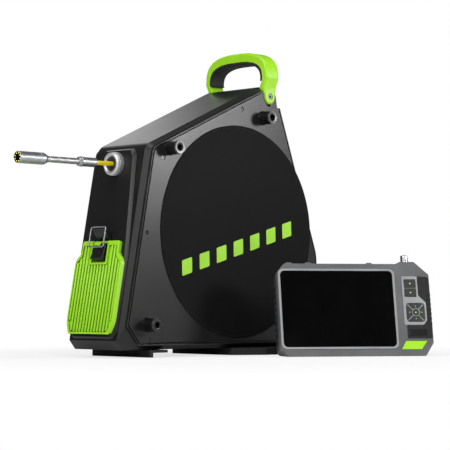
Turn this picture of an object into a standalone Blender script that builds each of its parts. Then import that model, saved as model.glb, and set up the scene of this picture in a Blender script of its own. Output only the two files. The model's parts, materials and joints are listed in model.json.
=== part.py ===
"""Pipe inspection camera: a push-rod reel with its camera head, and the handset that shows the picture.

Metres, +Z up. The rod leaves the reel along -Y and the covered sides of the reel face +X and -X.
Everything is modelled with the reel's middle plane at X = 0 and the front foot's edge at Y = 0,
then the whole assembly is shifted so that its box stands centred on the origin.
"""

import math

import bmesh
import bpy
from mathutils import Matrix, Vector

MM = 0.001
GAP = 0.3 * MM

# Housing, seen from the side
HOUSING_DEPTH = 380 * MM
HOUSING_HEIGHT = 373 * MM
FRONT_OVERHANG = 49 * MM
FRONT_HEIGHT = 279 * MM
FRONT_LEAN = math.radians(11)
RIDGE_FROM_REAR = 119 * MM
REAR_KNEE = 140 * MM
RIDGE_LENGTH = 38 * MM
REAR_TOP_DROP = 28 * MM
REAR_TOP_SETBACK = 4.7 * MM
GROUND_GAP = 10 * MM
FRONT_LINE_RISE = 12 * MM
REAR_TOE_DEPTH = 20 * MM
REAR_TOE_HEIGHT = 50 * MM
RIDGE_RADIUS = 14 * MM
BROW_RADIUS = 18 * MM
SLOPE_RADIUS = 30 * MM
KNEE_RADIUS = 60 * MM
TOE_CHAMFER = 12 * MM
SIDE_TOE_CHAMFER = 30 * MM
SHELL_STEP = 12 * MM
SHELL_CHAMFER = 5.5 * MM
HOUSING_WIDTH = 118 * MM
WALL = 4 * MM
SEAT = 6 * MM

# Side covers and round drum covers
COVER_INSET = 7 * MM
COVER_THICKNESS = 2.6 * MM
RIM_WALL = 1.5 * MM
AXLE_BOSS_RADIUS = 18 * MM
AXLE_BOSS_DEPTH = 12 * MM
DISC_THICKNESS = 1.4 * MM
DISC_OVERLAP = 14 * MM
DISC_REAR_MARGIN = 21 * MM
DISC_FOOT_MARGIN = 12.5 * MM
DISC_TOP_MARGIN = 21.5 * MM
DISC_SLOPE_MARGIN = 0.5 * MM
DISC_FRONT_MARGIN = 30 * MM
POST_RADIUS = 9 * MM
POST_LENGTH = 18 * MM
POST_BORE = 4 * MM
SCREW_HEAD_RADIUS = 2.8 * MM
SCREW_LENGTH = 2.2 * MM
SCREW_SUNK = 1 * MM
SCREW_CLEARANCE = 0.4 * MM

# Drum
HUB_RADIUS = 45 * MM
DRUM_CLEARANCE = 18 * MM
DRUM_SIDE_ROOM = 23 * MM
FLANGE = 3 * MM
AXLE_RADIUS = 8 * MM
AXLE_END_WALL = 1.5 * MM
BEARING_RADIUS = 16 * MM
BEARING_WIDTH = 8 * MM
WOUND_DEPTH = 26 * MM

# Rod, gland and camera
ROD_RADIUS = 3 * MM
ROD_HEIGHT_BELOW_FRONT = 24 * MM
NUT_RADIUS = 16 * MM
NUT_BORE = 10 * MM
NUT_LENGTH = 12 * MM
NUT_CLEARANCE = 1.5 * MM
NUT_PROUD = 10.8 * MM
GLAND_DEPTH = 34 * MM
SEAL_DEPTH = 6 * MM
ROD_SHOWN = 26.5 * MM
COLLAR_LENGTH = 29.5 * MM
COLLAR_RADIUS = 6.7 * MM
NECK_LENGTH = 53 * MM
NECK_RADIUS = 4.1 * MM
HEAD_LENGTH = 47 * MM
HEAD_RADIUS = 7.8 * MM
ROLLER_RADIUS = 12 * MM
ROLLER_WIDTH = 18 * MM
ROLLER_STUB = 2 * MM

# Front fascia, battery cover and latch
FASCIA_PROUD = 5 * MM
FASCIA_TOP_MARGIN = 28 * MM
FASCIA_LOW_MARGIN = 12.5 * MM
BATTERY_COVER_MARGIN = 13 * MM
BATTERY_COVER_TOP_MARGIN = 23 * MM
BATTERY_COVER_BOTTOM_MARGIN = 19.5 * MM
BATTERY_COVER_HEIGHT = 124.5 * MM
BATTERY_COVER_START = 16.5 * MM
BATTERY_COVER_THICKNESS = 6 * MM
BATTERY_SHOULDER = 26 * MM
BATTERY_BAY_MARGIN = 27 * MM
BATTERY_DEPTH = 34 * MM
LEVER_HALF_WIDTH = 12 * MM
LEVER_LENGTH = 22 * MM
LEVER_PIVOT_DEPTH = 2 * MM
BAIL_HALF_WIDTH = 15.5 * MM
BAIL_LENGTH = 26 * MM
BAIL_WIRE = 1.3 * MM

# Feet
FRONT_FOOT_DEPTH = 32 * MM
FOOT_LIP = 6 * MM
FOOT_STEP = 6 * MM
REAR_FOOT_START = 150 * MM
REAR_FOOT_MARGIN = 31 * MM
REAR_FOOT_FLARE = 26 * MM

# Carry handle
HANDLE_PROUD = 2 * MM
HANDLE_EAR_SUNK = 3 * MM
HANDLE_DEPTH = 26 * MM
HANDLE_HEIGHT = 67 * MM
HANDLE_BAR = 15 * MM
HANDLE_LEG = 9 * MM
EAR_RADIUS = 11 * MM
GRIP_THICKNESS = 4 * MM
EAR_NOTCH = 4 * MM
PIVOT_BELOW_RIDGE = 13 * MM
PIVOT_BEHIND_RIDGE = 18 * MM
PIVOT_SCREW_RADIUS = 4.5 * MM

# Handset
HANDSET_DEPTH = 42 * MM
FRAME_DEPTH = 12 * MM
HANDSET_LEAN = math.radians(13)
HANDSET_TURN = math.radians(56.8)
HANDSET_BESIDE = 99.6 * MM
HANDSET_ALONG = 142.8 * MM
SCREEN_WIDTH = 158 * MM
SCREEN_HEIGHT = 106 * MM
SCREEN_LEFT = 2.6 * MM
SCREEN_BOTTOM = 12 * MM
SCREEN_CORNER = 6 * MM
SCREEN_TOP_MARGIN = 9.2 * MM
CONTROLS_WIDTH = 51 * MM
KEY_TRAVEL = 0.6 * MM
KEY_PROUD = 1 * MM
KEY_CLEARANCE = 0.35 * MM
POWER_KEY_RADIUS = 5.5 * MM
STAND_LENGTH = 50 * MM
STAND_LOW = 16 * MM
CONNECTOR_BORE = 4.2 * MM
CONNECTOR_HEIGHT = 13.5 * MM
STAND_WIDTH = 70 * MM
STAND_THICKNESS = 3 * MM

BLACK = (0.012, 0.012, 0.013)
LIME = (0.33, 0.73, 0.02)
GREY = (0.16, 0.16, 0.17)
STEEL = (0.55, 0.56, 0.58)
YELLOW = (0.85, 0.66, 0.01)

for old in list(bpy.data.objects):
    bpy.data.objects.remove(old)

assembly = bpy.data.objects.new("inspection_camera", None)
handset = bpy.data.objects.new("handset", None)
for empty in (assembly, handset):
    bpy.context.collection.objects.link(empty)
handset.parent = assembly


def material(name, colour, roughness, metallic=0.0):
    made = bpy.data.materials.new(name)
    made.use_nodes = True
    shader = made.node_tree.nodes["Principled BSDF"]
    shader.inputs["Base Color"].default_value = (*colour, 1)
    shader.inputs["Roughness"].default_value = roughness
    shader.inputs["Metallic"].default_value = metallic
    return made


black = material("satin_black", BLACK, 0.45)
rubber = material("black_rubber", BLACK, 0.8)
lime = material("lime_plastic", LIME, 0.5)
grey = material("grey_plastic", GREY, 0.5)
steel = material("stainless_steel", STEEL, 0.3, 1.0)
yellow = material("yellow_rod", YELLOW, 0.4)
glass = material("screen_glass", (0.002, 0.002, 0.002), 0.08)
green_board = material("circuit_board", (0.01, 0.12, 0.04), 0.5)


def add(name, bm, finish, parent=assembly, origin=(0, 0, 0)):
    """Makes the node from the bmesh, with its origin at the given point."""
    bmesh.ops.recalc_face_normals(bm, faces=bm.faces)
    bmesh.ops.translate(bm, verts=bm.verts, vec=-Vector(origin))
    mesh = bpy.data.meshes.new(name)
    bm.to_mesh(mesh)
    bm.free()
    mesh.shade_smooth()
    mesh.set_sharp_from_angle(angle=math.radians(30))
    mesh.materials.append(finish)
    node = bpy.data.objects.new(name, mesh)
    bpy.context.collection.objects.link(node)
    node.parent = parent
    node.location = origin
    return node


def cut(node, bm, operation="DIFFERENCE"):
    """Cuts the bmesh, given in the node's parent's space, from the node."""
    bmesh.ops.recalc_face_normals(bm, faces=bm.faces)
    mesh = bpy.data.meshes.new(node.name + "_cutter")
    bm.to_mesh(mesh)
    bm.free()
    cutter = bpy.data.objects.new(node.name + "_cutter", mesh)
    bpy.context.collection.objects.link(cutter)
    cutter.parent = node.parent
    cutter.hide_render = True
    cutter.display_type = "WIRE"
    boolean = node.modifiers.new("cut", "BOOLEAN")
    boolean.operation = operation
    boolean.object = cutter


def prism(outline, low, high, axis="X", top=None):
    """A solid between two copies of an outline; the outline's pairs run along the other two axes in order."""
    places = {"X": lambda a, b, t: (t, a, b), "Y": lambda a, b, t: (a, t, b), "Z": lambda a, b, t: (a, b, t)}
    bm = bmesh.new()
    rings = []
    for pairs, level in ((outline, low), (top or outline, high)):
        rings.append([bm.verts.new(places[axis](a, b, level)) for a, b in pairs])
    bm.faces.new(rings[0])
    bm.faces.new(rings[1])
    count = len(outline)
    for index in range(count):
        after = (index + 1) % count
        bm.faces.new((rings[0][index], rings[0][after], rings[1][after], rings[1][index]))
    bmesh.ops.recalc_face_normals(bm, faces=bm.faces)
    return bm


def box(low, high):
    outline = ((low[0], low[1]), (high[0], low[1]), (high[0], high[1]), (low[0], high[1]))
    return prism(outline, low[2], high[2], "Z")


def circle(centre, radius, steps=32):
    turn = 2 * math.pi / steps
    return [
        (centre[0] + radius * math.cos(turn * step), centre[1] + radius * math.sin(turn * step))
        for step in range(steps)
    ]


def turned(profile, centre, axis, steps=32):
    """A solid of revolution: the closed profile holds (distance along the axis, radius) pairs."""
    along = Vector(axis).normalized()
    side = Vector((0, 0, 1)) if abs(along.z) < 0.9 else Vector((1, 0, 0))
    bm = bmesh.new()
    loop = [bm.verts.new(Vector(centre) + along * t + side * r) for t, r in profile]
    edges = [bm.edges.new((loop[i - 1], loop[i])) for i in range(len(loop))]
    bmesh.ops.spin(
        bm, geom=loop + edges, cent=centre, axis=along, angle=2 * math.pi, steps=steps, use_merge=True
    )
    bmesh.ops.remove_doubles(bm, verts=bm.verts, dist=0.00001)
    return bm


def rod_of(radius, start, end, centre, axis, steps=24):
    """A plain cylinder between two distances along an axis."""
    bm = bmesh.new()
    bmesh.ops.create_cone(
        bm, cap_ends=True, segments=steps, radius1=radius, radius2=radius, depth=end - start
    )
    turn = Vector((0, 0, 1)).rotation_difference(Vector(axis)).to_matrix().to_4x4()
    middle = Vector(centre) + Vector(axis).normalized() * (start + end) / 2
    bmesh.ops.transform(bm, matrix=Matrix.Translation(middle) @ turn, verts=bm.verts)
    return bm


def inset(outline, distance):
    """The outline moved inwards; it runs counter-clockwise."""
    moved = []
    for index, point in enumerate(outline):
        here = Vector(point)
        before = (here - Vector(outline[index - 1])).normalized()
        after = (Vector(outline[(index + 1) % len(outline)]) - here).normalized()
        normals = [Vector((-way.y, way.x)) for way in (before, after)]
        share = distance / (1 + normals[0].dot(normals[1]))
        moved.append(tuple(here + (normals[0] + normals[1]) * share))
    return moved


def rounded(outline, radii, steps=4):
    """The outline with its corners replaced by arcs."""
    points = []
    for index, corner in enumerate(outline):
        here = Vector(corner)
        back = (Vector(outline[index - 1]) - here).normalized()
        ahead = (Vector(outline[(index + 1) % len(outline)]) - here).normalized()
        if radii[index] == 0:
            points.append(tuple(here))
            continue
        half = math.acos(max(-1, min(1, back.dot(ahead)))) / 2
        reach = radii[index] / math.tan(half)
        centre = here + (back + ahead).normalized() * radii[index] / math.sin(half)
        first = here + back * reach - centre
        last = here + ahead * reach - centre
        sweep = first.angle_signed(last)
        for step in range(steps + 1):
            turn = Matrix.Rotation(-sweep * step / steps, 2)
            points.append(tuple(centre + turn @ first))
    return points


# --- Housing outline in (Y, Z), counter-clockwise when Y runs right and Z runs up ---

front_way = Vector((math.sin(FRONT_LEAN), math.cos(FRONT_LEAN)))
front_normal = Vector((math.cos(FRONT_LEAN), -math.sin(FRONT_LEAN)))
front_low = Vector((-FRONT_OVERHANG, GROUND_GAP + FRONT_LINE_RISE))
front_top = front_low + front_way * (FRONT_HEIGHT - front_low.y) / front_way.y
rear_y = HOUSING_DEPTH - FRONT_OVERHANG
ridge_front = Vector((rear_y - RIDGE_FROM_REAR, HOUSING_HEIGHT))
ridge_rear = ridge_front + Vector((RIDGE_LENGTH, 0))
rear_knee = Vector((rear_y, REAR_KNEE))
rear_top = ridge_rear + Vector((REAR_TOP_SETBACK, -REAR_TOP_DROP))
top_way = (ridge_front - front_top).normalized()
top_normal = Vector((top_way.y, -top_way.x))
rear_way = (rear_knee - rear_top).normalized()
rear_normal = Vector((rear_way.y, -rear_way.x))
toe = front_low - front_way * (front_low.y - GROUND_GAP) / front_way.y
corner_radii = [0, REAR_TOE_DEPTH, 30 * MM, KNEE_RADIUS, 10 * MM, RIDGE_RADIUS, SLOPE_RADIUS, BROW_RADIUS, 0]


def housing(distance):
    """The housing's side outline, moved inwards; its front foot corner is cut off more at the sides."""
    chamfer = SIDE_TOE_CHAMFER if distance else TOE_CHAMFER
    corners = [
        tuple(toe + Vector((chamfer, 0))),
        (rear_y - REAR_TOE_DEPTH, GROUND_GAP),
        (rear_y, GROUND_GAP + REAR_TOE_HEIGHT),
        tuple(rear_knee),
        tuple(rear_top),
        tuple(ridge_rear),
        tuple(ridge_front),
        tuple(front_top),
        tuple(toe + front_way * chamfer),
    ]
    radii = [max(radius - distance, 2 * MM) if radius else 0 for radius in corner_radii]
    return rounded(inset(corners, distance), radii)


def from_front(along, depth):
    """A point up the front line from its foot, and in from it."""
    return front_low + front_way * along + front_normal * depth


def from_top(along, depth):
    return front_top + top_way * along + top_normal * depth


# The largest round cover that keeps its margins to the top, the front, the rear and the feet
rear_limit = rear_y - DISC_REAR_MARGIN
foot_limit = GROUND_GAP + DISC_FOOT_MARGIN
reach = Vector((rear_limit, foot_limit))
diagonal = Vector((-1, 1))
top_radius = (top_normal.dot(reach - front_top) - DISC_TOP_MARGIN) / (1 - top_normal.dot(diagonal))
front_radius = (front_normal.dot(reach - front_top) - DISC_FRONT_MARGIN) / (1 - front_normal.dot(diagonal))
rear_radius = (rear_normal.dot(reach - rear_knee) - DISC_SLOPE_MARGIN) / (1 - rear_normal.dot(diagonal))
disc_radius = min(top_radius, front_radius, rear_radius)
disc_centre = reach + diagonal * disc_radius
drum_centre = (0, *disc_centre)
half_width = HOUSING_WIDTH / 2
shell_half = half_width - SHELL_STEP
drum_half = half_width - DRUM_SIDE_ROOM
bay_half = half_width - BATTERY_BAY_MARGIN
handle_half = half_width + HANDLE_PROUD
ear_half = half_width - HANDLE_EAR_SUNK
disc_back = half_width - DISC_THICKNESS
cover_face = disc_back - GAP
cover_back = cover_face - COVER_THICKNESS
seat_face = cover_back - GAP
rod_z = FRONT_HEIGHT - ROD_HEIGHT_BELOW_FRONT

# --- Feet and main shell ---

foot_half = half_width - 1.5 * MM
foot_top = GROUND_GAP - GAP
front_foot = (
    (0, 0),
    (FOOT_LIP, 0),
    (FOOT_LIP, FOOT_STEP),
    (FRONT_FOOT_DEPTH, FOOT_STEP),
    (FRONT_FOOT_DEPTH, foot_top),
    (0, foot_top),
)
add("front_foot", prism(front_foot, -foot_half, foot_half), rubber)
flared = half_width + REAR_FOOT_FLARE
rear_foot_end = rear_y - REAR_FOOT_MARGIN
rear_foot = (
    (-half_width, REAR_FOOT_START),
    (half_width, REAR_FOOT_START),
    (flared, REAR_FOOT_START + REAR_FOOT_FLARE * 1.6),
    (flared, rear_foot_end),
    (-flared, rear_foot_end),
    (-flared, REAR_FOOT_START + REAR_FOOT_FLARE * 1.6),
)
add("rear_foot", prism(rear_foot, 0, foot_top, "Z"), rubber)

shell_edge = shell_half + SHELL_CHAMFER
body_outline = housing(0)
rim_outline = housing(SHELL_CHAMFER)
rim_edge = half_width - 2 * MM
recess_outline = housing(SHELL_CHAMFER + RIM_WALL)
cover_outline = housing(COVER_INSET + RIM_WALL)
hollow = housing(WALL)
doorway = housing(COVER_INSET + RIM_WALL + SEAT)

hollow_half = shell_half - 3 * MM
half_section = [
    (shell_half, body_outline),
    (shell_edge, rim_outline),
    (rim_edge, rim_outline),
    (rim_edge, recess_outline),
    (seat_face, recess_outline),
    (seat_face, doorway),
    (hollow_half, doorway),
    (hollow_half, hollow),
]
section = half_section + [(-x, outline) for x, outline in reversed(half_section)]
shell = bmesh.new()
rings = [[shell.verts.new((x, y, z)) for y, z in outline] for x, outline in section]
for number, ring in enumerate(rings):
    before = rings[number - 1]
    for index in range(len(ring)):
        after = (index + 1) % len(ring)
        shell.faces.new((before[index], before[after], ring[after], ring[index]))
bmesh.ops.recalc_face_normals(shell, faces=shell.faces)
bmesh.ops.triangulate(shell, faces=shell.faces)
main_shell = add("main_shell", shell, black)

# Battery bay and rod hole through the front of the shell
cover_low = BATTERY_COVER_START - 10 * MM
cover_high = cover_low + BATTERY_COVER_HEIGHT
bay_low = from_front(cover_low + 14 * MM, -10 * MM)
bay_high = from_front(cover_high - BATTERY_SHOULDER - 12 * MM, -10 * MM)


def front_slab(low, high, outside, inside):
    """The (Y, Z) outline of a slab that lies along the front line, from outside it to inside it."""
    return (
        tuple(from_front(low, -outside)),
        tuple(from_front(low, inside)),
        tuple(from_front(high, inside)),
        tuple(from_front(high, -outside)),
    )


bay = (cover_low + 14 * MM, cover_high - BATTERY_SHOULDER - 12 * MM)
cut(main_shell, prism(front_slab(*bay, 12 * MM, WALL * 2.4), -bay_half, bay_half))
rod_centre = (0, 0, rod_z)
along_rod = (0, -1, 0)
body_radius = NUT_BORE - GAP
cut(main_shell, rod_of(body_radius + GAP, -40 * MM, 40 * MM, rod_centre, along_rod, 32))

# Handle pivot, its notches and its fold room
pivot = Vector((ridge_front.x + PIVOT_BEHIND_RIDGE, HOUSING_HEIGHT - PIVOT_BELOW_RIDGE))
notch_floor = pivot.y - EAR_RADIUS - EAR_NOTCH
ear_thickness = HANDLE_LEG
ear_inside = ear_half - ear_thickness
arc = [
    (pivot.x + (EAR_RADIUS + EAR_NOTCH) * math.cos(a), pivot.y + (EAR_RADIUS + EAR_NOTCH) * math.sin(a))
    for a in (math.radians(180 + 15 * step) for step in range(7))
]
notch = [(arc[0][0], pivot.y + 60 * MM)] + arc
notch += [(pivot.x + 90 * MM, notch_floor), (pivot.x + 90 * MM, pivot.y + 60 * MM)]
for side in (-1, 1):
    cut(main_shell, prism(notch, side * (ear_inside - 2 * GAP), side * (half_width + 8 * MM)))

# --- Side covers, disc covers, posts and screws ---

post_places = {
    "upper_front": from_top(30 * MM, 17 * MM),
    "upper_rear": rear_top + rear_way * 18 * MM - Vector((48 * MM, 0)),
    "lower_front": from_front(29 * MM, 40 * MM),
    "lower_rear": Vector((rear_y - 30 * MM, GROUND_GAP + 34 * MM)),
}
screw_places = [
    from_top(14 * MM, 24 * MM),
    from_top(180 * MM, 16 * MM),
    from_front(146 * MM, 15 * MM),
    front_low + Vector((47 * MM, 0 * MM)),
]
plug_radius = disc_radius - DISC_OVERLAP
disc_hole = circle(disc_centre, plug_radius + GAP, 64)
bore_end = half_width - AXLE_END_WALL
disc_profile = (
    (half_width, 0),
    (half_width, disc_radius),
    (disc_back, disc_radius),
    (disc_back, plug_radius),
    (cover_back, plug_radius),
    (cover_back, AXLE_BOSS_RADIUS),
    (half_width - AXLE_BOSS_DEPTH, AXLE_BOSS_RADIUS),
    (half_width - AXLE_BOSS_DEPTH, AXLE_RADIUS + GAP),
    (bore_end, AXLE_RADIUS + GAP),
    (bore_end, 0),
)
for side, name in ((1, "right"), (-1, "left")):
    cover = add(name + "_cover", prism(cover_outline, side * cover_back, side * cover_face), black)
    cut(cover, prism(disc_hole, side * (cover_back - MM), side * half_width))
    cut(cover, prism(notch, side * (ear_inside - 2 * GAP), side * (half_width + 8 * MM)))
    add(name + "_disc", turned(disc_profile, drum_centre, (side, 0, 0), 96), black)
    if side == 1:
        for place in screw_places:
            hole = rod_of(SCREW_HEAD_RADIUS + SCREW_CLEARANCE, 0, 80 * MM, (0, *place), (1, 0, 0), 16)
            bmesh.ops.translate(hole, verts=hole.verts, vec=(cover_face - SCREW_LENGTH - GAP, 0, 0))
            cut(cover, hole)
for number, place in enumerate(screw_places, 1):
    base = cover_face - SCREW_LENGTH
    screw = rod_of(SCREW_HEAD_RADIUS, base, base + SCREW_LENGTH - SCREW_SUNK, (0, *place), (1, 0, 0), 16)
    add("cover_screw_%d" % number, screw, steel)
for name, place in post_places.items():
    profile = (
        (cover_face + GAP, 0),
        (cover_face + GAP, POST_RADIUS * 1.12),
        (half_width + POST_LENGTH, POST_RADIUS),
        (half_width + POST_LENGTH, POST_BORE),
        (half_width + POST_LENGTH * 0.35, POST_BORE),
        (half_width + POST_LENGTH * 0.35, 0),
    )
    add("post_" + name, turned(profile, (0, *place), (1, 0, 0), 24), black)

# --- Drum on its axle ---

drum_radius = disc_radius - DRUM_CLEARANCE
axle_half = bore_end - GAP
add("axle", rod_of(AXLE_RADIUS, -axle_half, axle_half, drum_centre, (1, 0, 0)), steel)
bore = BEARING_RADIUS + GAP
drum_profile = (
    (-drum_half, bore),
    (-drum_half, drum_radius),
    (-drum_half + FLANGE, drum_radius),
    (-drum_half + FLANGE, HUB_RADIUS),
    (drum_half - FLANGE, HUB_RADIUS),
    (drum_half - FLANGE, drum_radius),
    (drum_half, drum_radius),
    (drum_half, bore),
)
add("rod_drum", turned(drum_profile, drum_centre, (1, 0, 0), 48), grey, origin=drum_centre)
for side, name in ((1, "right"), (-1, "left")):
    profile = [
        (side * (drum_half - BEARING_WIDTH), AXLE_RADIUS + GAP),
        (side * (drum_half - BEARING_WIDTH), BEARING_RADIUS),
        (side * drum_half, BEARING_RADIUS),
        (side * drum_half, AXLE_RADIUS + GAP),
    ]
    add("bearing_" + name, turned(profile, drum_centre, (1, 0, 0), 24), steel, origin=drum_centre)
wound_half = drum_half - FLANGE - 1 * MM
wound_outer = rod_z - ROD_RADIUS - GAP - disc_centre.y
wound_rod = (
    (-wound_half, wound_outer - WOUND_DEPTH),
    (-wound_half, wound_outer),
    (wound_half, wound_outer),
    (wound_half, wound_outer - WOUND_DEPTH),
)
add("wound_rod", turned(wound_rod, drum_centre, (1, 0, 0), 48), yellow, origin=drum_centre)
slip_start = -(drum_half + 1.5 * MM)
slip_profile = (
    (slip_start, AXLE_RADIUS + GAP),
    (slip_start - 7 * MM, AXLE_RADIUS + GAP),
    (slip_start - 7 * MM, BEARING_RADIUS - 2 * MM),
    (slip_start, BEARING_RADIUS - 2 * MM),
)
add("slip_ring", turned(slip_profile, drum_centre, (1, 0, 0), 24), steel)

# --- Front fascia, gland and rod ---

fascia_length = (front_top - front_low).length - 4 * MM
fascia_top_half = half_width - FASCIA_TOP_MARGIN
fascia_low_half = half_width - FASCIA_LOW_MARGIN
cover_top_half = half_width - BATTERY_COVER_TOP_MARGIN
cover_bottom_half = half_width - BATTERY_COVER_BOTTOM_MARGIN
cover_wide_half = half_width - BATTERY_COVER_MARGIN
tilt = Matrix.Rotation(-FRONT_LEAN, 4, "X")
front_origin = Vector((0, *front_low))


def on_front(bm):
    """Moves a shape from the front's own axes (X across, Y into the housing, Z up the front) to its place."""
    bmesh.ops.transform(bm, matrix=Matrix.Translation(front_origin) @ tilt, verts=bm.verts)
    return bm


def mirrored(half):
    """A symmetrical outline from its right half, listed from bottom to top."""
    return list(half) + [(-a, b) for a, b in reversed(half)]


fascia_half = (
    (fascia_low_half - 8 * MM, 2 * MM),
    (fascia_low_half, 14 * MM),
    (fascia_low_half, 112 * MM),
    (fascia_top_half + 3 * MM, fascia_length - 9 * MM),
    (fascia_top_half - 4 * MM, fascia_length),
)
fascia_inner = [(a - 3 * MM, b - 3 * MM if b > 20 * MM else b + 2 * MM) for a, b in fascia_half]
fascia_mesh = prism(mirrored(fascia_half), -GAP, -FASCIA_PROUD, "Y", mirrored(fascia_inner))
fascia = add("front_fascia", on_front(fascia_mesh), black)
cut(fascia, on_front(box((-bay_half, -30 * MM, bay[0]), (bay_half, 20 * MM, bay[1]))))
cut(fascia, rod_of(body_radius + GAP, -40 * MM, 60 * MM, rod_centre, along_rod, 32))
nut_front = -(front_low.x + (rod_z - front_low.y) * math.tan(FRONT_LEAN) - FASCIA_PROUD) + NUT_PROUD
nut_back = nut_front - NUT_LENGTH
nut_pocket = (NUT_RADIUS + NUT_CLEARANCE, nut_back - GAP, nut_front, rod_centre, along_rod, 32)
for node in (fascia, main_shell):
    cut(node, rod_of(*nut_pocket))
nut_profile = (
    (nut_back, NUT_BORE),
    (nut_back, NUT_RADIUS),
    (nut_front - 2 * MM, NUT_RADIUS),
    (nut_front, NUT_RADIUS - 2 * MM),
    (nut_front, NUT_BORE),
)
add("gland_nut", turned(nut_profile, rod_centre, along_rod, 32), steel, origin=(0, -nut_back, rod_z))
gland_face = nut_front - 3 * MM
rod_bore = ROD_RADIUS + 1 * MM
gland_profile = (
    (gland_face, NUT_BORE - 3 * MM),
    (gland_face, body_radius),
    (nut_back - GLAND_DEPTH, body_radius),
    (nut_back - GLAND_DEPTH, rod_bore),
    (gland_face - SEAL_DEPTH, rod_bore),
    (gland_face - SEAL_DEPTH, NUT_BORE - 3 * MM),
)
add("gland_body", turned(gland_profile, rod_centre, along_rod, 24), black)
seal_profile = (
    (gland_face - 0.5 * MM, ROD_RADIUS + GAP),
    (gland_face - SEAL_DEPTH + GAP, ROD_RADIUS + GAP),
    (gland_face - SEAL_DEPTH + GAP, NUT_BORE - 3 * MM - GAP),
    (gland_face - 0.5 * MM, NUT_BORE - 3 * MM - GAP),
)
add("gland_seal", turned(seal_profile, rod_centre, along_rod, 24), rubber)

collar_back = nut_front + ROD_SHOWN
rod_start = gland_face - 9 * MM


def rod_curve(name, start, end):
    """A straight stretch of the push rod, between two distances out from the middle of the foot line."""
    data = bpy.data.curves.new(name, "CURVE")
    data.dimensions = "3D"
    data.bevel_depth = ROD_RADIUS
    data.bevel_resolution = 2
    data.use_fill_caps = True
    line = data.splines.new("POLY")
    steps = 4
    line.points.add(steps)
    for index, point in enumerate(line.points):
        point.co = (0, -(start + (end - start) * index / steps), rod_z, 1)
    data.materials.append(yellow)
    node = bpy.data.objects.new(name, data)
    bpy.context.collection.objects.link(node)
    node.parent = assembly


rod_curve("push_rod", rod_start, collar_back - GAP)
rod_curve("push_rod_tail", -(disc_centre.x - 6 * MM), rod_start - GAP)
neck_back = collar_back + COLLAR_LENGTH
head_back = neck_back + NECK_LENGTH
head_front = head_back + HEAD_LENGTH
collar_profile = (
    (collar_back, 0),
    (collar_back, COLLAR_RADIUS - 0.8 * MM),
    (collar_back + 1 * MM, COLLAR_RADIUS),
    (neck_back - 6 * MM, COLLAR_RADIUS),
    (neck_back, COLLAR_RADIUS * 0.8),
    (neck_back, 0),
)
add("camera_collar", turned(collar_profile, rod_centre, along_rod, 24), steel)
neck_profile = (
    (neck_back + GAP, 0),
    (neck_back + GAP, NECK_RADIUS),
    (head_back - GAP, NECK_RADIUS),
    (head_back - GAP, 0),
)
add("camera_neck", turned(neck_profile, rod_centre, along_rod, 24), steel)
window_seat = head_front - 2.5 * MM
head_profile = (
    (head_back, 0),
    (head_back, HEAD_RADIUS * 0.72),
    (head_back + 5 * MM, HEAD_RADIUS),
    (head_front - 1 * MM, HEAD_RADIUS),
    (head_front, HEAD_RADIUS - 0.8 * MM),
    (head_front, HEAD_RADIUS - 1.4 * MM),
    (window_seat, HEAD_RADIUS - 1.4 * MM),
    (window_seat, 0),
)
add("camera_head", turned(head_profile, rod_centre, along_rod, 24), steel)
window_radius = HEAD_RADIUS - 1.4 * MM - GAP
window = rod_of(window_radius, window_seat + GAP, head_front - 0.5 * MM, rod_centre, along_rod)
add("camera_window", window, glass)

roller_y = -nut_back + GLAND_DEPTH + ROLLER_RADIUS + 14 * MM
for sign, name in ((1, "upper"), (-1, "lower")):
    centre = (0, roller_y, rod_z + sign * (ROD_RADIUS + ROLLER_RADIUS + GAP))
    half = ROLLER_WIDTH / 2
    stub = half + 6 * MM
    profile = (
        (-stub, 0),
        (-stub, ROLLER_STUB),
        (-half, ROLLER_STUB),
        (-half, ROLLER_RADIUS),
        (half, ROLLER_RADIUS),
        (half, ROLLER_STUB),
        (stub, ROLLER_STUB),
        (stub, 0),
    )
    add("guide_roller_" + name, turned(profile, centre, (1, 0, 0), 24), rubber, origin=centre)

# --- Battery, its cover and the draw latch ---

pack_low = bay[0] + 2 * MM
pack_high = bay[1] - 2 * MM
pack_half = bay_half - 2 * MM
pack = box((-pack_half, 1 * MM, pack_low), (pack_half, BATTERY_DEPTH, pack_high))
add("battery_pack", on_front(pack), grey)

lid_back = -(FASCIA_PROUD + GAP)
lid_front = lid_back - BATTERY_COVER_THICKNESS
hinge_radius = 2 * MM
hinge_s = cover_low + 2.5 * MM
hinge_depth = lid_back - 3 * MM
cover_half = (
    (cover_bottom_half, cover_low),
    (cover_wide_half, cover_low + 16 * MM),
    (cover_wide_half, cover_high - BATTERY_SHOULDER),
    (cover_top_half, cover_high - BATTERY_SHOULDER + 10 * MM),
    (cover_top_half, cover_high),
)
cover_mesh = prism(mirrored(cover_half), lid_back, lid_front, "Y")
hinge_at = tilt @ Vector((0, hinge_depth, hinge_s)) + front_origin
battery_cover = add("battery_cover", on_front(cover_mesh), lime, origin=tuple(hinge_at))
pin_half = cover_bottom_half - 4 * MM
pin_hole = rod_of(hinge_radius + GAP, -pin_half - GAP, pin_half + GAP, hinge_at, (1, 0, 0), 16)
cut(battery_cover, pin_hole)
clear = 5 * MM
knuckle_room = box((-pin_half - GAP, lid_front - clear, cover_low - clear), (pin_half + GAP, 0, hinge_s))
heel_room = box((-cover_wide_half, hinge_depth, cover_low - clear), (cover_wide_half, 0, hinge_s))
for room in (knuckle_room, heel_room):
    cut(battery_cover, on_front(room))
add("cover_hinge_pin", rod_of(hinge_radius, -pin_half, pin_half, hinge_at, (1, 0, 0), 16), steel)

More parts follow.
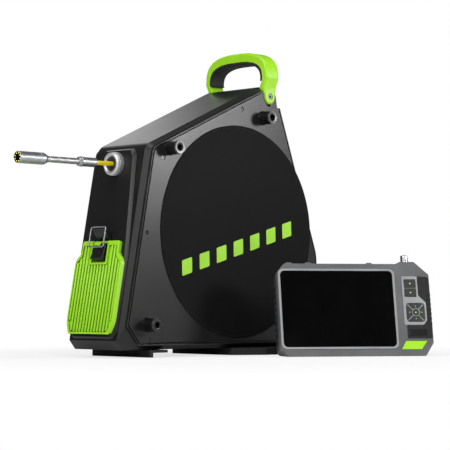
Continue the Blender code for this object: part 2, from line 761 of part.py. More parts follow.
lever_pocket_low = cover_high - LEVER_LENGTH - 7 * MM
pocket_floor = lid_back - 2.5 * MM
pocket = box(
    (-LEVER_HALF_WIDTH - 2 * MM, lid_front - 20 * MM, lever_pocket_low),
    (LEVER_HALF_WIDTH + 2 * MM, pocket_floor, cover_high + 1 * MM),
)
cut(battery_cover, on_front(pocket))
lever_s = cover_high - 5 * MM
lever_back = pocket_floor - GAP
lever_front = lid_front - 5 * MM
lever_outline = (
    (lever_back - 1.5 * MM, lever_s - LEVER_LENGTH),
    (lever_back, lever_s - LEVER_LENGTH + 3 * MM),
    (lever_back, lever_s),
    (lever_back - LEVER_PIVOT_DEPTH, lever_s + LEVER_PIVOT_DEPTH),
    (lever_front + 3.5 * MM, lever_s + 0.5 * MM),
    (lever_front + 2 * MM, lever_s - LEVER_LENGTH + 8 * MM),
    (lever_front, lever_s - LEVER_LENGTH + 2 * MM),
)
lever_pivot = tilt @ Vector((0, lever_back - LEVER_PIVOT_DEPTH, lever_s)) + front_origin
lever_mesh = prism(lever_outline, -LEVER_HALF_WIDTH, LEVER_HALF_WIDTH)
add("latch_lever", on_front(lever_mesh), black, origin=tuple(lever_pivot))

# The bail is a closed rectangle of wire that passes over the lever's sides and the catch
bail_outer = BAIL_HALF_WIDTH
bail_inner = BAIL_HALF_WIDTH - 2 * BAIL_WIRE
bail_low = lever_s - 6 * MM
bail_high = bail_low + BAIL_LENGTH
bail_depth = lever_front - 1 * MM
bail_mesh = box(
    (-bail_outer, bail_depth - 2 * BAIL_WIRE, bail_low), (bail_outer, bail_depth, bail_high + 2 * BAIL_WIRE)
)
bail_pivot = tilt @ Vector((0, bail_depth - BAIL_WIRE, bail_low + BAIL_WIRE)) + front_origin
bail = add("wire_bail", on_front(bail_mesh), steel, origin=tuple(bail_pivot))
bail_room = box(
    (-bail_inner, bail_depth - 9 * MM, bail_low + 2 * BAIL_WIRE), (bail_inner, bail_depth + 9 * MM, bail_high)
)
cut(bail, on_front(bail_room))
catch_low = cover_high + 2 * MM
catch_high = bail_high - 1 * MM
catch_half = bail_inner - 1 * MM
catch_outline = (
    (lid_back, catch_low),
    (lid_back, catch_high),
    (bail_depth - 2 * BAIL_WIRE, catch_high),
    (lid_back - 1.5 * MM, catch_low),
)
add("latch_catch", on_front(prism(catch_outline, -catch_half, catch_half)), black)

# --- Carry handle ---

pivot_point = (0, *pivot)
leg_top = pivot.y + 30 * MM
arch_top = pivot.y + HANDLE_HEIGHT
shoulder = 26 * MM


def arch(outer_half, foot_half_width, top, shoulder_radius, ear_bottom):
    """Half of the arch's outline in (X, Z), from the ear up to the crown."""
    points = [
        (foot_half_width, ear_bottom),
        (foot_half_width, pivot.y + EAR_RADIUS + 2 * MM),
        (outer_half, leg_top - 6 * MM),
    ]
    for step in range(7):
        turn = math.radians(15 * step)
        x = outer_half - shoulder_radius + shoulder_radius * math.cos(turn)
        z = top - shoulder_radius - 4 * MM + shoulder_radius * math.sin(turn)
        points.append((x, z))
    points.append((outer_half * 0.25, top))
    return points


outer_arch = arch(handle_half, ear_half, arch_top, shoulder, pivot.y - EAR_RADIUS)
inner_top = arch_top - HANDLE_BAR
inner_arch = arch(
    handle_half - HANDLE_LEG, ear_inside, inner_top, shoulder - 6 * MM, pivot.y - EAR_RADIUS
)
inner_cutter = arch(
    handle_half - HANDLE_LEG, ear_inside, inner_top, shoulder - 6 * MM, pivot.y - EAR_RADIUS - 5 * MM
)
grip_arch = [(a - GRIP_THICKNESS, b) for a, b in inner_arch[2:-2]]
handle_low = pivot.x - HANDLE_DEPTH / 2
handle_high = pivot.x + HANDLE_DEPTH / 2
handle_solid = prism(mirrored(outer_arch), handle_low, handle_high, "Y")
handle = add("handle_shell", handle_solid, lime, origin=pivot_point)
cut(handle, prism(mirrored(inner_cutter), handle_low - MM, handle_high + MM, "Y"))
for sign in (-1, 1):
    side_cut = [
        (pivot.x + sign * 20 * MM, pivot.y - 20 * MM),
        (pivot.x + sign * 20 * MM, pivot.y + EAR_RADIUS),
        (pivot.x + sign * HANDLE_DEPTH / 2, pivot.y + EAR_RADIUS),
    ]
    for step in range(13):
        turn = math.radians(7.5 * step)
        radius = EAR_RADIUS
        side_cut.append((pivot.x + sign * radius * math.cos(turn), pivot.y - radius * math.sin(turn)))
    side_cut.append((pivot.x, pivot.y - 20 * MM))
    cut(handle, prism(side_cut, -90 * MM, 90 * MM))
cut(handle, rod_of(PIVOT_SCREW_RADIUS + GAP, -90 * MM, 90 * MM, pivot_point, (1, 0, 0), 24))

grip_inner_top = inner_top - GRIP_THICKNESS
grip_start = pivot.y + EAR_RADIUS + 6 * MM
grip_outer_half = handle_half - HANDLE_LEG - GAP


def grip_outline(half, top, radius):
    points = [(half, grip_start + 8 * MM)]
    for step in range(7):
        turn = math.radians(15 * step)
        across = half - radius + radius * math.cos(turn)
        points.append((across, top - radius - 4 * MM + radius * math.sin(turn)))
    points.append((half * 0.25, top))
    return mirrored(points)


grip = add(
    "handle_grip",
    prism(grip_outline(grip_outer_half, inner_top - GAP, shoulder - 6 * MM), handle_low, handle_high, "Y"),
    rubber,
    origin=pivot_point,
)
grip_hole = grip_outline(grip_outer_half - GRIP_THICKNESS, grip_inner_top, shoulder - 8 * MM)
grip_hole[0] = (grip_hole[0][0], grip_start - 5 * MM)
grip_hole[-1] = (grip_hole[-1][0], grip_start - 5 * MM)
cut(grip, prism(grip_hole, handle_low - MM, handle_high + MM, "Y"))
for side, name in ((1, "right"), (-1, "left")):
    start = ear_inside + 1 * MM
    pivot_screw = rod_of(PIVOT_SCREW_RADIUS, start, ear_half - 0.6 * MM, pivot_point, (side, 0, 0), 24)
    add("pivot_screw_" + name, pivot_screw, steel)

# --- Handset, in its own axes: X across, Y into it from the screen, Z up ---

handset.rotation_euler = (-HANDSET_LEAN, 0, HANDSET_TURN)
handset.location = (half_width + HANDSET_BESIDE, HANDSET_ALONG, 0)
handset_width = SCREEN_LEFT + SCREEN_WIDTH + CONTROLS_WIDTH
handset_height = SCREEN_BOTTOM + SCREEN_HEIGHT + SCREEN_TOP_MARGIN
handset_outline = (
    (9 * MM, 0),
    (handset_width - 12 * MM, 0),
    (handset_width, 18 * MM),
    (handset_width, handset_height - 15 * MM),
    (handset_width - 20 * MM, handset_height + 3 * MM),
    (handset_width - 40 * MM, handset_height + 3 * MM),
    (handset_width - 46 * MM, handset_height),
    (10 * MM, handset_height),
    (0, handset_height - 12 * MM),
    (0, 12 * MM),
)


def case(distance):
    """The handset's front outline, moved inwards."""
    return rounded(inset(handset_outline, distance), [3 * MM] * len(handset_outline), 3)


frame_outline = case(0)


def on_ground(bm):
    """Trims what would reach below the surface that the leaning handset stands on."""
    normal = Vector((0, math.sin(HANDSET_LEAN), -math.cos(HANDSET_LEAN)))
    everything = bm.verts[:] + bm.edges[:] + bm.faces[:]
    cut_here = bmesh.ops.bisect_plane(
        bm, geom=everything, plane_co=(0, 0, 0), plane_no=normal, clear_outer=True
    )
    edges = [item for item in cut_here["geom_cut"] if isinstance(item, bmesh.types.BMEdge)]
    bmesh.ops.holes_fill(bm, edges=edges)
    bmesh.ops.remove_doubles(bm, verts=bm.verts, dist=0.00001)
    return bm


def rectangle(low, high, corner=0.0):
    points = ((low[0], low[1]), (high[0], low[1]), (high[0], high[1]), (low[0], high[1]))
    return rounded(points, [corner] * 4, 3) if corner else list(points)


front_frame = add("handset_frame", on_ground(prism(frame_outline, 0, FRAME_DEPTH, "Y")), grey, handset)
rear_start = FRAME_DEPTH + GAP
rear_taper = case(4 * MM)
rear_mesh = on_ground(prism(frame_outline, rear_start, HANDSET_DEPTH, "Y", rear_taper))
rear_case = add("handset_rear_case", rear_mesh, rubber, handset)
cut(rear_case, prism(case(10 * MM), rear_start - MM, HANDSET_DEPTH - 3 * MM, "Y"))

screen_low = (SCREEN_LEFT, SCREEN_BOTTOM)
screen_high = (SCREEN_LEFT + SCREEN_WIDTH, SCREEN_BOTTOM + SCREEN_HEIGHT)
cut(front_frame, prism(rectangle(screen_low, screen_high, SCREEN_CORNER), -MM, FRAME_DEPTH + MM, "Y"))
screen = inset(rectangle(screen_low, screen_high, SCREEN_CORNER), GAP)
add("screen_glass", prism(screen, 1.5 * MM, 4 * MM, "Y"), glass, handset)

inner_low = (16 * MM, 18 * MM)
board_high = (handset_width - 26 * MM, handset_height - 16 * MM)
board_y = FRAME_DEPTH + 3 * MM
board = prism(rectangle(inner_low, board_high), board_y, board_y + 1.6 * MM, "Y")
add("handset_board", board, green_board, handset)
cell_high = (110 * MM, handset_height - 24 * MM)
cell_y = board_y + 4 * MM
cell = prism(rectangle((24 * MM, 24 * MM), cell_high, 4 * MM), cell_y, cell_y + 10 * MM, "Y")
add("handset_battery", cell, steel, handset)

# Keys: a pair of square keys, and a cross of four around a round one
key_left = handset_width - 36 * MM
key_width = 16 * MM
key_height = 11 * MM
pair_low = 81.5 * MM
key_back = 6 * MM
key_mesh_front = -KEY_PROUD


def key(name, outline):
    """A key and the pocket that it slides in."""
    pocket = prism(inset(outline, -KEY_CLEARANCE), -3 * MM, key_back + KEY_TRAVEL + GAP, "Y")
    cut(front_frame, pocket)
    centre = sum((Vector(point) for point in outline), Vector((0, 0))) / len(outline)
    origin = (centre.x, key_mesh_front, centre.y)
    add(name, prism(outline, key_mesh_front, key_back, "Y"), rubber, handset, origin)


for number, name in enumerate(("key_record", "key_menu")):
    low = (key_left, pair_low + number * (key_height + 1.6 * MM))
    key(name, rectangle(low, (low[0] + key_width, low[1] + key_height), 1 * MM))
pad_centre = Vector((handset_width - 22.5 * MM, 59.7 * MM))
pad_half = 12.5 * MM
centre_radius = 4.2 * MM
arm_gap = 1.0 * MM
for number, name in enumerate(("key_right", "key_up", "key_left", "key_down")):
    turn = math.radians(90 * number)
    inner = centre_radius + 1.5 * MM
    corner = pad_half - 3 * MM
    wedge = [(pad_half, 1 * MM - corner), (pad_half, corner - 1 * MM), (corner, corner - arm_gap)]
    for step in range(5):
        angle = math.radians(36 - 18 * step)
        wedge.append((inner * math.cos(angle), inner * math.sin(angle)))
    wedge.append((corner, arm_gap - corner))
    spin = Matrix.Rotation(turn, 2)
    key(name, [tuple(pad_centre + spin @ Vector(point)) for point in wedge])
key("key_centre", circle(pad_centre, centre_radius, 24))

plate_low = (handset_width - 33 * MM, 27 * MM)
plate_high = (handset_width - 9 * MM, 36 * MM)
cut(front_frame, prism(rectangle(plate_low, plate_high), -3 * MM, 1.3 * MM, "Y"))
add("label_plate", prism(inset(rectangle(plate_low, plate_high), GAP), 0.1 * MM, 1 * MM, "Y"), black, handset)
tag_outline = (
    (handset_width - 46 * MM, 9 * MM),
    (handset_width - 17 * MM, 9 * MM),
    (handset_width - 8.5 * MM, 21 * MM),
    (handset_width - 39 * MM, 21 * MM),
)
cut(front_frame, prism(tag_outline, -3 * MM, 1.3 * MM, "Y"))
add("lime_tag", prism(inset(tag_outline, GAP), 0.1 * MM, 1 * MM, "Y"), lime, handset)

connector_at = (handset_width - 27 * MM, 19 * MM, 0)
connector_base = handset_height + 3 * MM + GAP
connector_profile = (
    (connector_base, 0),
    (connector_base, CONNECTOR_BORE + 2.2 * MM),
    (connector_base + 2.5 * MM, CONNECTOR_BORE + 2.2 * MM),
    (connector_base + 2.5 * MM, CONNECTOR_BORE + 1.2 * MM),
    (connector_base + CONNECTOR_HEIGHT, CONNECTOR_BORE + 1.2 * MM),
    (connector_base + CONNECTOR_HEIGHT, CONNECTOR_BORE),
    (connector_base + 3 * MM, CONNECTOR_BORE),
    (connector_base + 3 * MM, 0),
)
add("cable_connector", turned(connector_profile, connector_at, (0, 0, 1), 24), steel, handset)
power_at = (26 * MM, 22 * MM, 0)
power_top = handset_height + 2.5 * MM
power_floor = handset_height - 2.5 * MM
hole_radius = POWER_KEY_RADIUS + KEY_CLEARANCE
power_hole = rod_of(hole_radius, power_floor, power_top + 5 * MM, power_at, (0, 0, 1), 24)
cut(rear_case, power_hole)
power_key = rod_of(POWER_KEY_RADIUS, handset_height - 1.2 * MM, power_top, power_at, (0, 0, 1), 24)
add("power_key", power_key, rubber, handset, (*power_at[:2], power_top))

stand_at = (handset_width / 2, HANDSET_DEPTH + GAP + STAND_THICKNESS / 2 + 1 * MM, STAND_LOW + STAND_LENGTH)
stand_outline = rectangle(
    (stand_at[0] - STAND_WIDTH / 2, STAND_LOW), (stand_at[0] + STAND_WIDTH / 2, stand_at[2] + 2 * MM), 4 * MM
)
stand_mesh = prism(stand_outline, stand_at[1] - STAND_THICKNESS / 2, stand_at[1] + STAND_THICKNESS / 2, "Y")
add("fold_out_stand", stand_mesh, black, handset, stand_at)

# --- Stand the assembly's box centred on the origin, leaving out the camera on its rod ---

on_the_rod = {"push_rod", "camera_collar", "camera_neck", "camera_head", "camera_window"}
bpy.context.view_layer.update()
graph = bpy.context.evaluated_depsgraph_get()
reach_points = []
for node in bpy.data.objects:
    if node.type != "MESH" or node.hide_render or node.name in on_the_rod:
        continue
    shape = node.evaluated_get(graph)
    reach_points += [node.matrix_world @ vertex.co for vertex in shape.data.vertices]
lows = [min(point[axis] for point in reach_points) for axis in range(3)]
highs = [max(point[axis] for point in reach_points) for axis in range(3)]
assembly.location = (-(lows[0] + highs[0]) / 2, -(lows[1] + highs[1]) / 2, -lows[2])
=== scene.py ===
import json
import math

import bmesh
import bpy
from mathutils import Matrix, Vector


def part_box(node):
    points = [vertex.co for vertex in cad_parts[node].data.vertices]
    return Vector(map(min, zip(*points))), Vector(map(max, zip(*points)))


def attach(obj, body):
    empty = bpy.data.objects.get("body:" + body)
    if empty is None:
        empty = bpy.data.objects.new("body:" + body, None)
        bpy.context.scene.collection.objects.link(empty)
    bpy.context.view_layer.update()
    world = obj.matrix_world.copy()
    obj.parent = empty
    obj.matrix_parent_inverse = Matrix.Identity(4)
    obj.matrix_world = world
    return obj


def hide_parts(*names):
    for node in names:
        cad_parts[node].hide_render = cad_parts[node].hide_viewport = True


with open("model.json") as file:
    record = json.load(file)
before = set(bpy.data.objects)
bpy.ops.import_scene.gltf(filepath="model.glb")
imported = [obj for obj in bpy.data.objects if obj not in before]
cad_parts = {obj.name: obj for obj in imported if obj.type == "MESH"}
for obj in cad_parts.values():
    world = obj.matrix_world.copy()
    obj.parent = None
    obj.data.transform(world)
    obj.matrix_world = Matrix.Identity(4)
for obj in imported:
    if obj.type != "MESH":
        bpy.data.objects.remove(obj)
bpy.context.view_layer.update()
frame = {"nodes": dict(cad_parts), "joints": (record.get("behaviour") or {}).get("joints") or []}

mm = 0.001
nodes = frame["nodes"]
spots = {joint["name"]: Vector(joint["pos_m"]) for joint in frame["joints"] if joint.get("pos_m")}
reelMiddle = spots["drum_spin"].x  # the reel's middle plane
print("frame loaded:", len(nodes), "nodes")


# camera, lights and floor

stage = {
    "camera": (1.64097, -1.69673, 0.075),
    "looking": (-0.704, 0.7089, 0.0428),
    "lens": 140,
    "floorSize": 14,
    "floorTone": (0.86, 0.86, 0.86),
    "floorDrop": 0.4,
    "fade": (0.3, 0.6),  # how far from the middle the floor turns into the plain backdrop
    "softness": 0.72,
    "around": 0.12,
    "backdrop": 1.0,
}
softboxes = {
    "key_left": {"spot": (0.2, -3.0, 2.2), "aim": (0, 0, 0.15), "size": (1.4, 1.4), "power": 58},
    "side_panel": {"spot": (0.95, 0.74, 0.5), "aim": (0.05, -0.06, 0.3), "size": (0.28, 0.3), "power": 7.5},
    "front_fill": {"spot": (3.0, -2.2, 1.6), "aim": (0, 0, 0.15), "size": (1.2, 1.2), "power": 36},
    "top": {"spot": (0.5, -0.6, 2.6), "aim": (0, 0, 0), "size": (1.6, 1.6), "power": 26},
    "back_left": {"spot": (-2.2, 1.0, 1.6), "aim": (0, 0, 0.2), "size": (0.8, 0.8), "power": 4.5},
}


def addCamera():
    data = bpy.data.cameras.new("camera")
    data.lens = stage["lens"]
    data.sensor_width = 36
    data.clip_end = 50
    camera = bpy.data.objects.new("camera", data)
    bpy.context.collection.objects.link(camera)
    camera.location = stage["camera"]
    camera.rotation_euler = Vector(stage["looking"]).to_track_quat("-Z", "Y").to_euler()
    bpy.context.scene.camera = camera


def addSoftbox(name, spot, aim, size, power):
    data = bpy.data.lights.new(name, "AREA")
    data.shape = "RECTANGLE"
    data.size, data.size_y = size
    data.energy = power
    lamp = bpy.data.objects.new(name, data)
    bpy.context.collection.objects.link(lamp)
    lamp.location = spot
    lamp.rotation_euler = (Vector(aim) - Vector(spot)).to_track_quat("-Z", "Y").to_euler()


def addFloor():
    bm = bmesh.new()
    bmesh.ops.create_grid(bm, x_segments=1, y_segments=1, size=stage["floorSize"] / 2)
    mesh = bpy.data.meshes.new("floor")
    bm.to_mesh(mesh)
    bm.free()
    floor = bpy.data.objects.new("floor", mesh)
    floor.location = (0, 0, -stage["floorDrop"] * mm)
    bpy.context.collection.objects.link(floor)
    paint = bpy.data.materials.new("pale_floor")
    paint.use_nodes = True
    shader = paint.node_tree.nodes["Principled BSDF"]
    shader.inputs["Base Color"].default_value = (*stage["floorTone"], 1)
    shader.inputs["Roughness"].default_value = 0.9
    shader.inputs["Specular IOR Level"].default_value = 0.1
    tree = paint.node_tree
    where = tree.nodes.new("ShaderNodeTexCoord").outputs["Object"]
    reach = tree.nodes.new("ShaderNodeVectorMath")
    reach.operation = "LENGTH"
    tree.links.new(where, reach.inputs[0])
    fade = tree.nodes.new("ShaderNodeMapRange")
    fade.inputs["From Min"].default_value, fade.inputs["From Max"].default_value = stage["fade"]
    fade.inputs["To Min"].default_value = stage["softness"]
    tree.links.new(reach.outputs["Value"], fade.inputs["Value"])
    seen = tree.nodes.new("ShaderNodeLightPath")
    amount = tree.nodes.new("ShaderNodeMath")
    amount.operation = "MULTIPLY"
    tree.links.new(fade.outputs["Result"], amount.inputs[0])
    tree.links.new(seen.outputs["Is Camera Ray"], amount.inputs[1])
    plain = tree.nodes.new("ShaderNodeEmission")
    mixed = tree.nodes.new("ShaderNodeMixShader")
    tree.links.new(amount.outputs["Value"], mixed.inputs["Fac"])
    tree.links.new(shader.outputs["BSDF"], mixed.inputs[1])
    tree.links.new(plain.outputs["Emission"], mixed.inputs[2])
    tree.links.new(mixed.outputs["Shader"], tree.nodes["Material Output"].inputs["Surface"])
    mesh.materials.append(paint)


def lightWorld(strength, seen):
    world = bpy.data.worlds.new("studio")
    bpy.context.scene.world = world
    world.use_nodes = True
    tree = world.node_tree
    around = tree.nodes["Background"]
    around.inputs["Color"].default_value = (1, 1, 1, 1)
    around.inputs["Strength"].default_value = strength
    backdrop = tree.nodes.new("ShaderNodeBackground")
    backdrop.inputs["Color"].default_value = (1, 1, 1, 1)
    backdrop.inputs["Strength"].default_value = seen
    ray = tree.nodes.new("ShaderNodeLightPath")
    mixed = tree.nodes.new("ShaderNodeMixShader")
    tree.links.new(ray.outputs["Is Camera Ray"], mixed.inputs["Fac"])
    tree.links.new(around.outputs["Background"], mixed.inputs[1])
    tree.links.new(backdrop.outputs["Background"], mixed.inputs[2])
    tree.links.new(mixed.outputs["Shader"], tree.nodes["World Output"].inputs["Surface"])


bpy.context.scene.view_settings.view_transform = "Standard"
addCamera()
addFloor()
lightWorld(stage["around"], stage["backdrop"])
for name, light in softboxes.items():
    addSoftbox(name, **light)
print("camera, lights and floor ready")


# shader groups shared by the finishes

def newGroup(name, inputs, outputs):
    group = bpy.data.node_groups.new(name, "ShaderNodeTree")
    for label, kind, value in inputs:
        socket = group.interface.new_socket(name=label, in_out="INPUT", socket_type=kind)
        socket.default_value = value
    for label, kind in outputs:
        group.interface.new_socket(name=label, in_out="OUTPUT", socket_type=kind)
    start = group.nodes.new("NodeGroupInput")
    end = group.nodes.new("NodeGroupOutput")
    return group, start, end


def addMath(tree, operation, first, second=None, clamp=False):
    node = tree.nodes.new("ShaderNodeMath")
    node.operation = operation
    node.use_clamp = clamp
    for socket, value in zip(node.inputs, (first, second)):
        if value is None:
            continue
        if isinstance(value, (int, float)):
            socket.default_value = value
        else:
            tree.links.new(value, socket)
    return node.outputs[0]


def addNoise(tree, vector, scale, detail=4.0, rough=0.55):
    noise = tree.nodes.new("ShaderNodeTexNoise")
    noise.inputs["Detail"].default_value = detail
    noise.inputs["Roughness"].default_value = rough
    if isinstance(scale, (int, float)):
        noise.inputs["Scale"].default_value = scale
    else:
        tree.links.new(scale, noise.inputs["Scale"])
    tree.links.new(vector, noise.inputs["Vector"])
    return noise.outputs["Fac"]


def rampOf(tree, value, low, high, toLow=0.0, toHigh=1.0):
    node = tree.nodes.new("ShaderNodeMapRange")
    node.inputs["From Min"].default_value = low
    node.inputs["From Max"].default_value = high
    node.inputs["To Min"].default_value = toLow
    node.inputs["To Max"].default_value = toHigh
    tree.links.new(value, node.inputs["Value"])
    return node.outputs["Result"]


def makeMouldGroup():
    # spark-eroded mould grain, with broad clouds of handling sheen and sparse fine scratches
    group, start, end = newGroup(
        "mouldedSurface",
        [("Grain Scale", "NodeSocketFloat", 900.0), ("Cloud Scale", "NodeSocketFloat", 9.0)],
        [("Grain", "NodeSocketFloat"), ("Clouds", "NodeSocketFloat"), ("Scratches", "NodeSocketFloat")],
    )
    where = group.nodes.new("ShaderNodeTexCoord").outputs["Object"]
    fine = addNoise(group, where, start.outputs["Grain Scale"], 2.0, 0.6)
    cells = group.nodes.new("ShaderNodeTexVoronoi")
    group.links.new(where, cells.inputs["Vector"])
    group.links.new(start.outputs["Grain Scale"], cells.inputs["Scale"])
    pebble = rampOf(group, cells.outputs["Distance"], 0.0, 0.7)
    grain = addMath(group, "MULTIPLY_ADD", fine, 0.5)
    group.links.new(pebble, grain.node.inputs[2])
    group.links.new(grain, end.inputs["Grain"])
    clouds = rampOf(group, addNoise(group, where, start.outputs["Cloud Scale"], 5.0, 0.6), 0.35, 0.68)
    group.links.new(clouds, end.inputs["Clouds"])
    turned = group.nodes.new("ShaderNodeMapping")
    turned.inputs["Rotation"].default_value = (0.5, 0.9, 0.3)
    turned.inputs["Scale"].default_value = (1, 22, 1)
    group.links.new(where, turned.inputs["Vector"])
    lines = addNoise(group, turned.outputs["Vector"], 26.0, 3.0, 0.5)
    group.links.new(rampOf(group, lines, 0.69, 0.75), end.inputs["Scratches"])
    return group


def makeEdgeGroup():
    # how strongly the surface turns within a small radius: the edges, which take both worn colour and a
    # painted highlight
    group, start, end = newGroup(
        "edgeWearAndHighlight", [("Breakup Scale", "NodeSocketFloat", 60.0)], [("Edge", "NodeSocketFloat")]
    )
    rounded = group.nodes.new("ShaderNodeBevel")
    rounded.samples = 4
    rounded.inputs["Radius"].default_value = wearAndPaintedLight["radius"] * mm
    flat = group.nodes.new("ShaderNodeNewGeometry")
    dot = group.nodes.new("ShaderNodeVectorMath")
    dot.operation = "DOT_PRODUCT"
    group.links.new(rounded.outputs["Normal"], dot.inputs[0])
    group.links.new(flat.outputs["Normal"], dot.inputs[1])
    turn = rampOf(group, addMath(group, "SUBTRACT", 1.0, dot.outputs["Value"]), 0.02, 0.2)
    where = group.nodes.new("ShaderNodeTexCoord").outputs["Object"]
    patches = addNoise(group, where, start.outputs["Breakup Scale"], 4.0, 0.6)
    patchy = rampOf(group, patches, 0.3, 0.65, 0.35, 1.0)
    group.links.new(addMath(group, "MULTIPLY", turn, patchy, True), end.inputs["Edge"])
    return group


def makeBrushGroup():
    # lathe and brush marks that run round a turned piece whose axis lies along Y
    group, start, end = newGroup(
        "turningMarks",
        [("Line Scale", "NodeSocketFloat", 1500.0)],
        [("Lines", "NodeSocketFloat"), ("Smudges", "NodeSocketFloat")],
    )
    where = group.nodes.new("ShaderNodeTexCoord").outputs["Object"]
    squeezed = group.nodes.new("ShaderNodeMapping")
    squeezed.inputs["Scale"].default_value = (0.02, 1, 0.02)
    group.links.new(where, squeezed.inputs["Vector"])
    lines = addNoise(group, squeezed.outputs["Vector"], start.outputs["Line Scale"], 3.0, 0.7)
    group.links.new(lines, end.inputs["Lines"])
    smudges = rampOf(group, addNoise(group, where, 70.0, 5.0, 0.6), 0.35, 0.7)
    group.links.new(smudges, end.inputs["Smudges"])
    return group


# radius, breakup and polish set the edge mask, which paints both wear and a painted highlight along edges;
# hollowReach sets how far the painted shade in hollows reaches
wearAndPaintedLight = {"radius": 1.1, "plasticBreakup": 55.0, "metalBreakup": 90.0, "hollowReach": 4.0, "polish": 0.08}
mouldGroup = makeMouldGroup()
edgeGroup = makeEdgeGroup()
brushGroup = makeBrushGroup()


# finishes

def startFinish(name, settings):
    made = bpy.data.materials.new(name)
    made.use_nodes = True
    tree = made.node_tree
    shader = tree.nodes["Principled BSDF"]
    for socket, value in settings.items():
        shader.inputs[socket].default_value = value
    return made, tree, shader


def addGroup(tree, group, **values):
    node = tree.nodes.new("ShaderNodeGroup")
    node.node_tree = group
    for label, value in values.items():
        node.inputs[label.replace("_", " ")].default_value = value
    return node


def mixTones(tree, amount, first, second):
    mix = tree.nodes.new("ShaderNodeMix")
    mix.data_type = "RGBA"
    tree.links.new(amount, mix.inputs["Factor"])
    for socket, value in ((mix.inputs[6], first), (mix.inputs[7], second)):
        if isinstance(value, tuple):
            socket.default_value = (*value, 1)
        else:
            tree.links.new(value, socket)
    return mix.outputs[2]


def addBump(tree, shader, height, strength, distance):
    bump = tree.nodes.new("ShaderNodeBump")
    bump.inputs["Strength"].default_value = strength
    bump.inputs["Distance"].default_value = distance * mm
    tree.links.new(height, bump.inputs["Height"])
    tree.links.new(bump.outputs["Normal"], shader.inputs["Normal"])


def makePlastic(name, look):
    settings = {"Specular IOR Level": look["specular"], "Metallic": 0.0}
    made, tree, shader = startFinish(name, settings)
    surface = addGroup(tree, mouldGroup, Grain_Scale=look["grain"], Cloud_Scale=look["clouds"])
    edge = addGroup(tree, edgeGroup, Breakup_Scale=wearAndPaintedLight["plasticBreakup"])
    base = mixTones(tree, surface.outputs["Clouds"], look["deep"], look["light"])
    # painted shade: the colour darkens towards the hollow colour where ambient occlusion finds a recess, such
    # as between the door's ribs
    if "hollow" in look:
        shade = tree.nodes.new("ShaderNodeAmbientOcclusion")
        shade.samples = 6
        shade.inputs["Distance"].default_value = wearAndPaintedLight["hollowReach"] * mm
        hollowShadeAmount = rampOf(tree, shade.outputs["AO"], 0.35, 0.8, 1.0, 0.0)
        base = mixTones(tree, hollowShadeAmount, base, look["hollow"])
    # edges take the lighter edge colour: partly wear, partly a painted highlight where edges would catch the
    # light
    wornAndHighlit = mixTones(tree, addMath(tree, "MULTIPLY", edge.outputs["Edge"], look["wearAndPaintedLight"]), base, look["edge"])
    scuffed = mixTones(
        tree, addMath(tree, "MULTIPLY", surface.outputs["Scratches"], look["scratch"]), wornAndHighlit, look["edge"]
    )
    tree.links.new(scuffed, shader.inputs["Base Color"])
    rough = rampOf(tree, surface.outputs["Clouds"], 0.0, 1.0, look["rough"][0], look["rough"][1])
    polished = addMath(tree, "MULTIPLY", edge.outputs["Edge"], wearAndPaintedLight["polish"])
    rough = addMath(tree, "SUBTRACT", rough, polished, True)
    tree.links.new(rough, shader.inputs["Roughness"])
    addBump(tree, shader, surface.outputs["Grain"], look["bump"], look["depth"])
    return made


def makeMetal(name, look):
    made, tree, shader = startFinish(name, {"Metallic": 1.0})
    marks = addGroup(tree, brushGroup, Line_Scale=look["lines"])
    edge = addGroup(tree, edgeGroup, Breakup_Scale=wearAndPaintedLight["metalBreakup"])
    base = mixTones(tree, marks.outputs["Smudges"], look["deep"], look["light"])
    # metal edges take the brighter edge colour: partly bare worn metal, partly a painted highlight
    bright = mixTones(tree, addMath(tree, "MULTIPLY", edge.outputs["Edge"], look["wearAndPaintedLight"]), base, look["edge"])
    tree.links.new(bright, shader.inputs["Base Color"])
    rough = rampOf(tree, marks.outputs["Lines"], 0.3, 0.7, look["rough"][0], look["rough"][1])
    tree.links.new(rough, shader.inputs["Roughness"])
    addBump(tree, shader, marks.outputs["Lines"], look["bump"], 0.02)
    return made


# each look's edge colour is partly worn edge and partly a painted highlight along the lit edges
blackPlastic = makePlastic("black_plastic", {
    "deep": (0.006, 0.006, 0.0065), "light": (0.0085, 0.0085, 0.009), "edge": (0.10, 0.10, 0.105),
    "wearAndPaintedLight": 0.75, "scratch": 0.05, "specular": 0.42, "rough": (0.3, 0.36),
    "grain": 1100.0, "clouds": 7.0, "bump": 0.12, "depth": 0.06,
})
discPlastic = makePlastic("disc_plastic", {
    "deep": (0.0065, 0.0065, 0.0068), "light": (0.0085, 0.0085, 0.009), "edge": (0.045, 0.045, 0.048),
    "wearAndPaintedLight": 0.6, "scratch": 0.05, "specular": 0.05, "rough": (0.5, 0.6),
    "grain": 1300.0, "clouds": 6.0, "bump": 0.12, "depth": 0.06,
})
glossBlack = makePlastic("gloss_black", {
    "deep": (0.004, 0.004, 0.0045), "light": (0.006, 0.006, 0.0065), "edge": (0.16, 0.16, 0.165),
    "wearAndPaintedLight": 0.7, "scratch": 0.05, "specular": 0.55, "rough": (0.22, 0.3),
    "grain": 1500.0, "clouds": 12.0, "bump": 0.05, "depth": 0.04,
})
blackRubber = makePlastic("black_rubber", {
    "deep": (0.010, 0.010, 0.011), "light": (0.019, 0.019, 0.020), "edge": (0.045, 0.045, 0.047),
    "wearAndPaintedLight": 0.4, "scratch": 0.08, "specular": 0.3, "rough": (0.62, 0.8),
    "grain": 700.0, "clouds": 14.0, "bump": 0.3, "depth": 0.1,
})
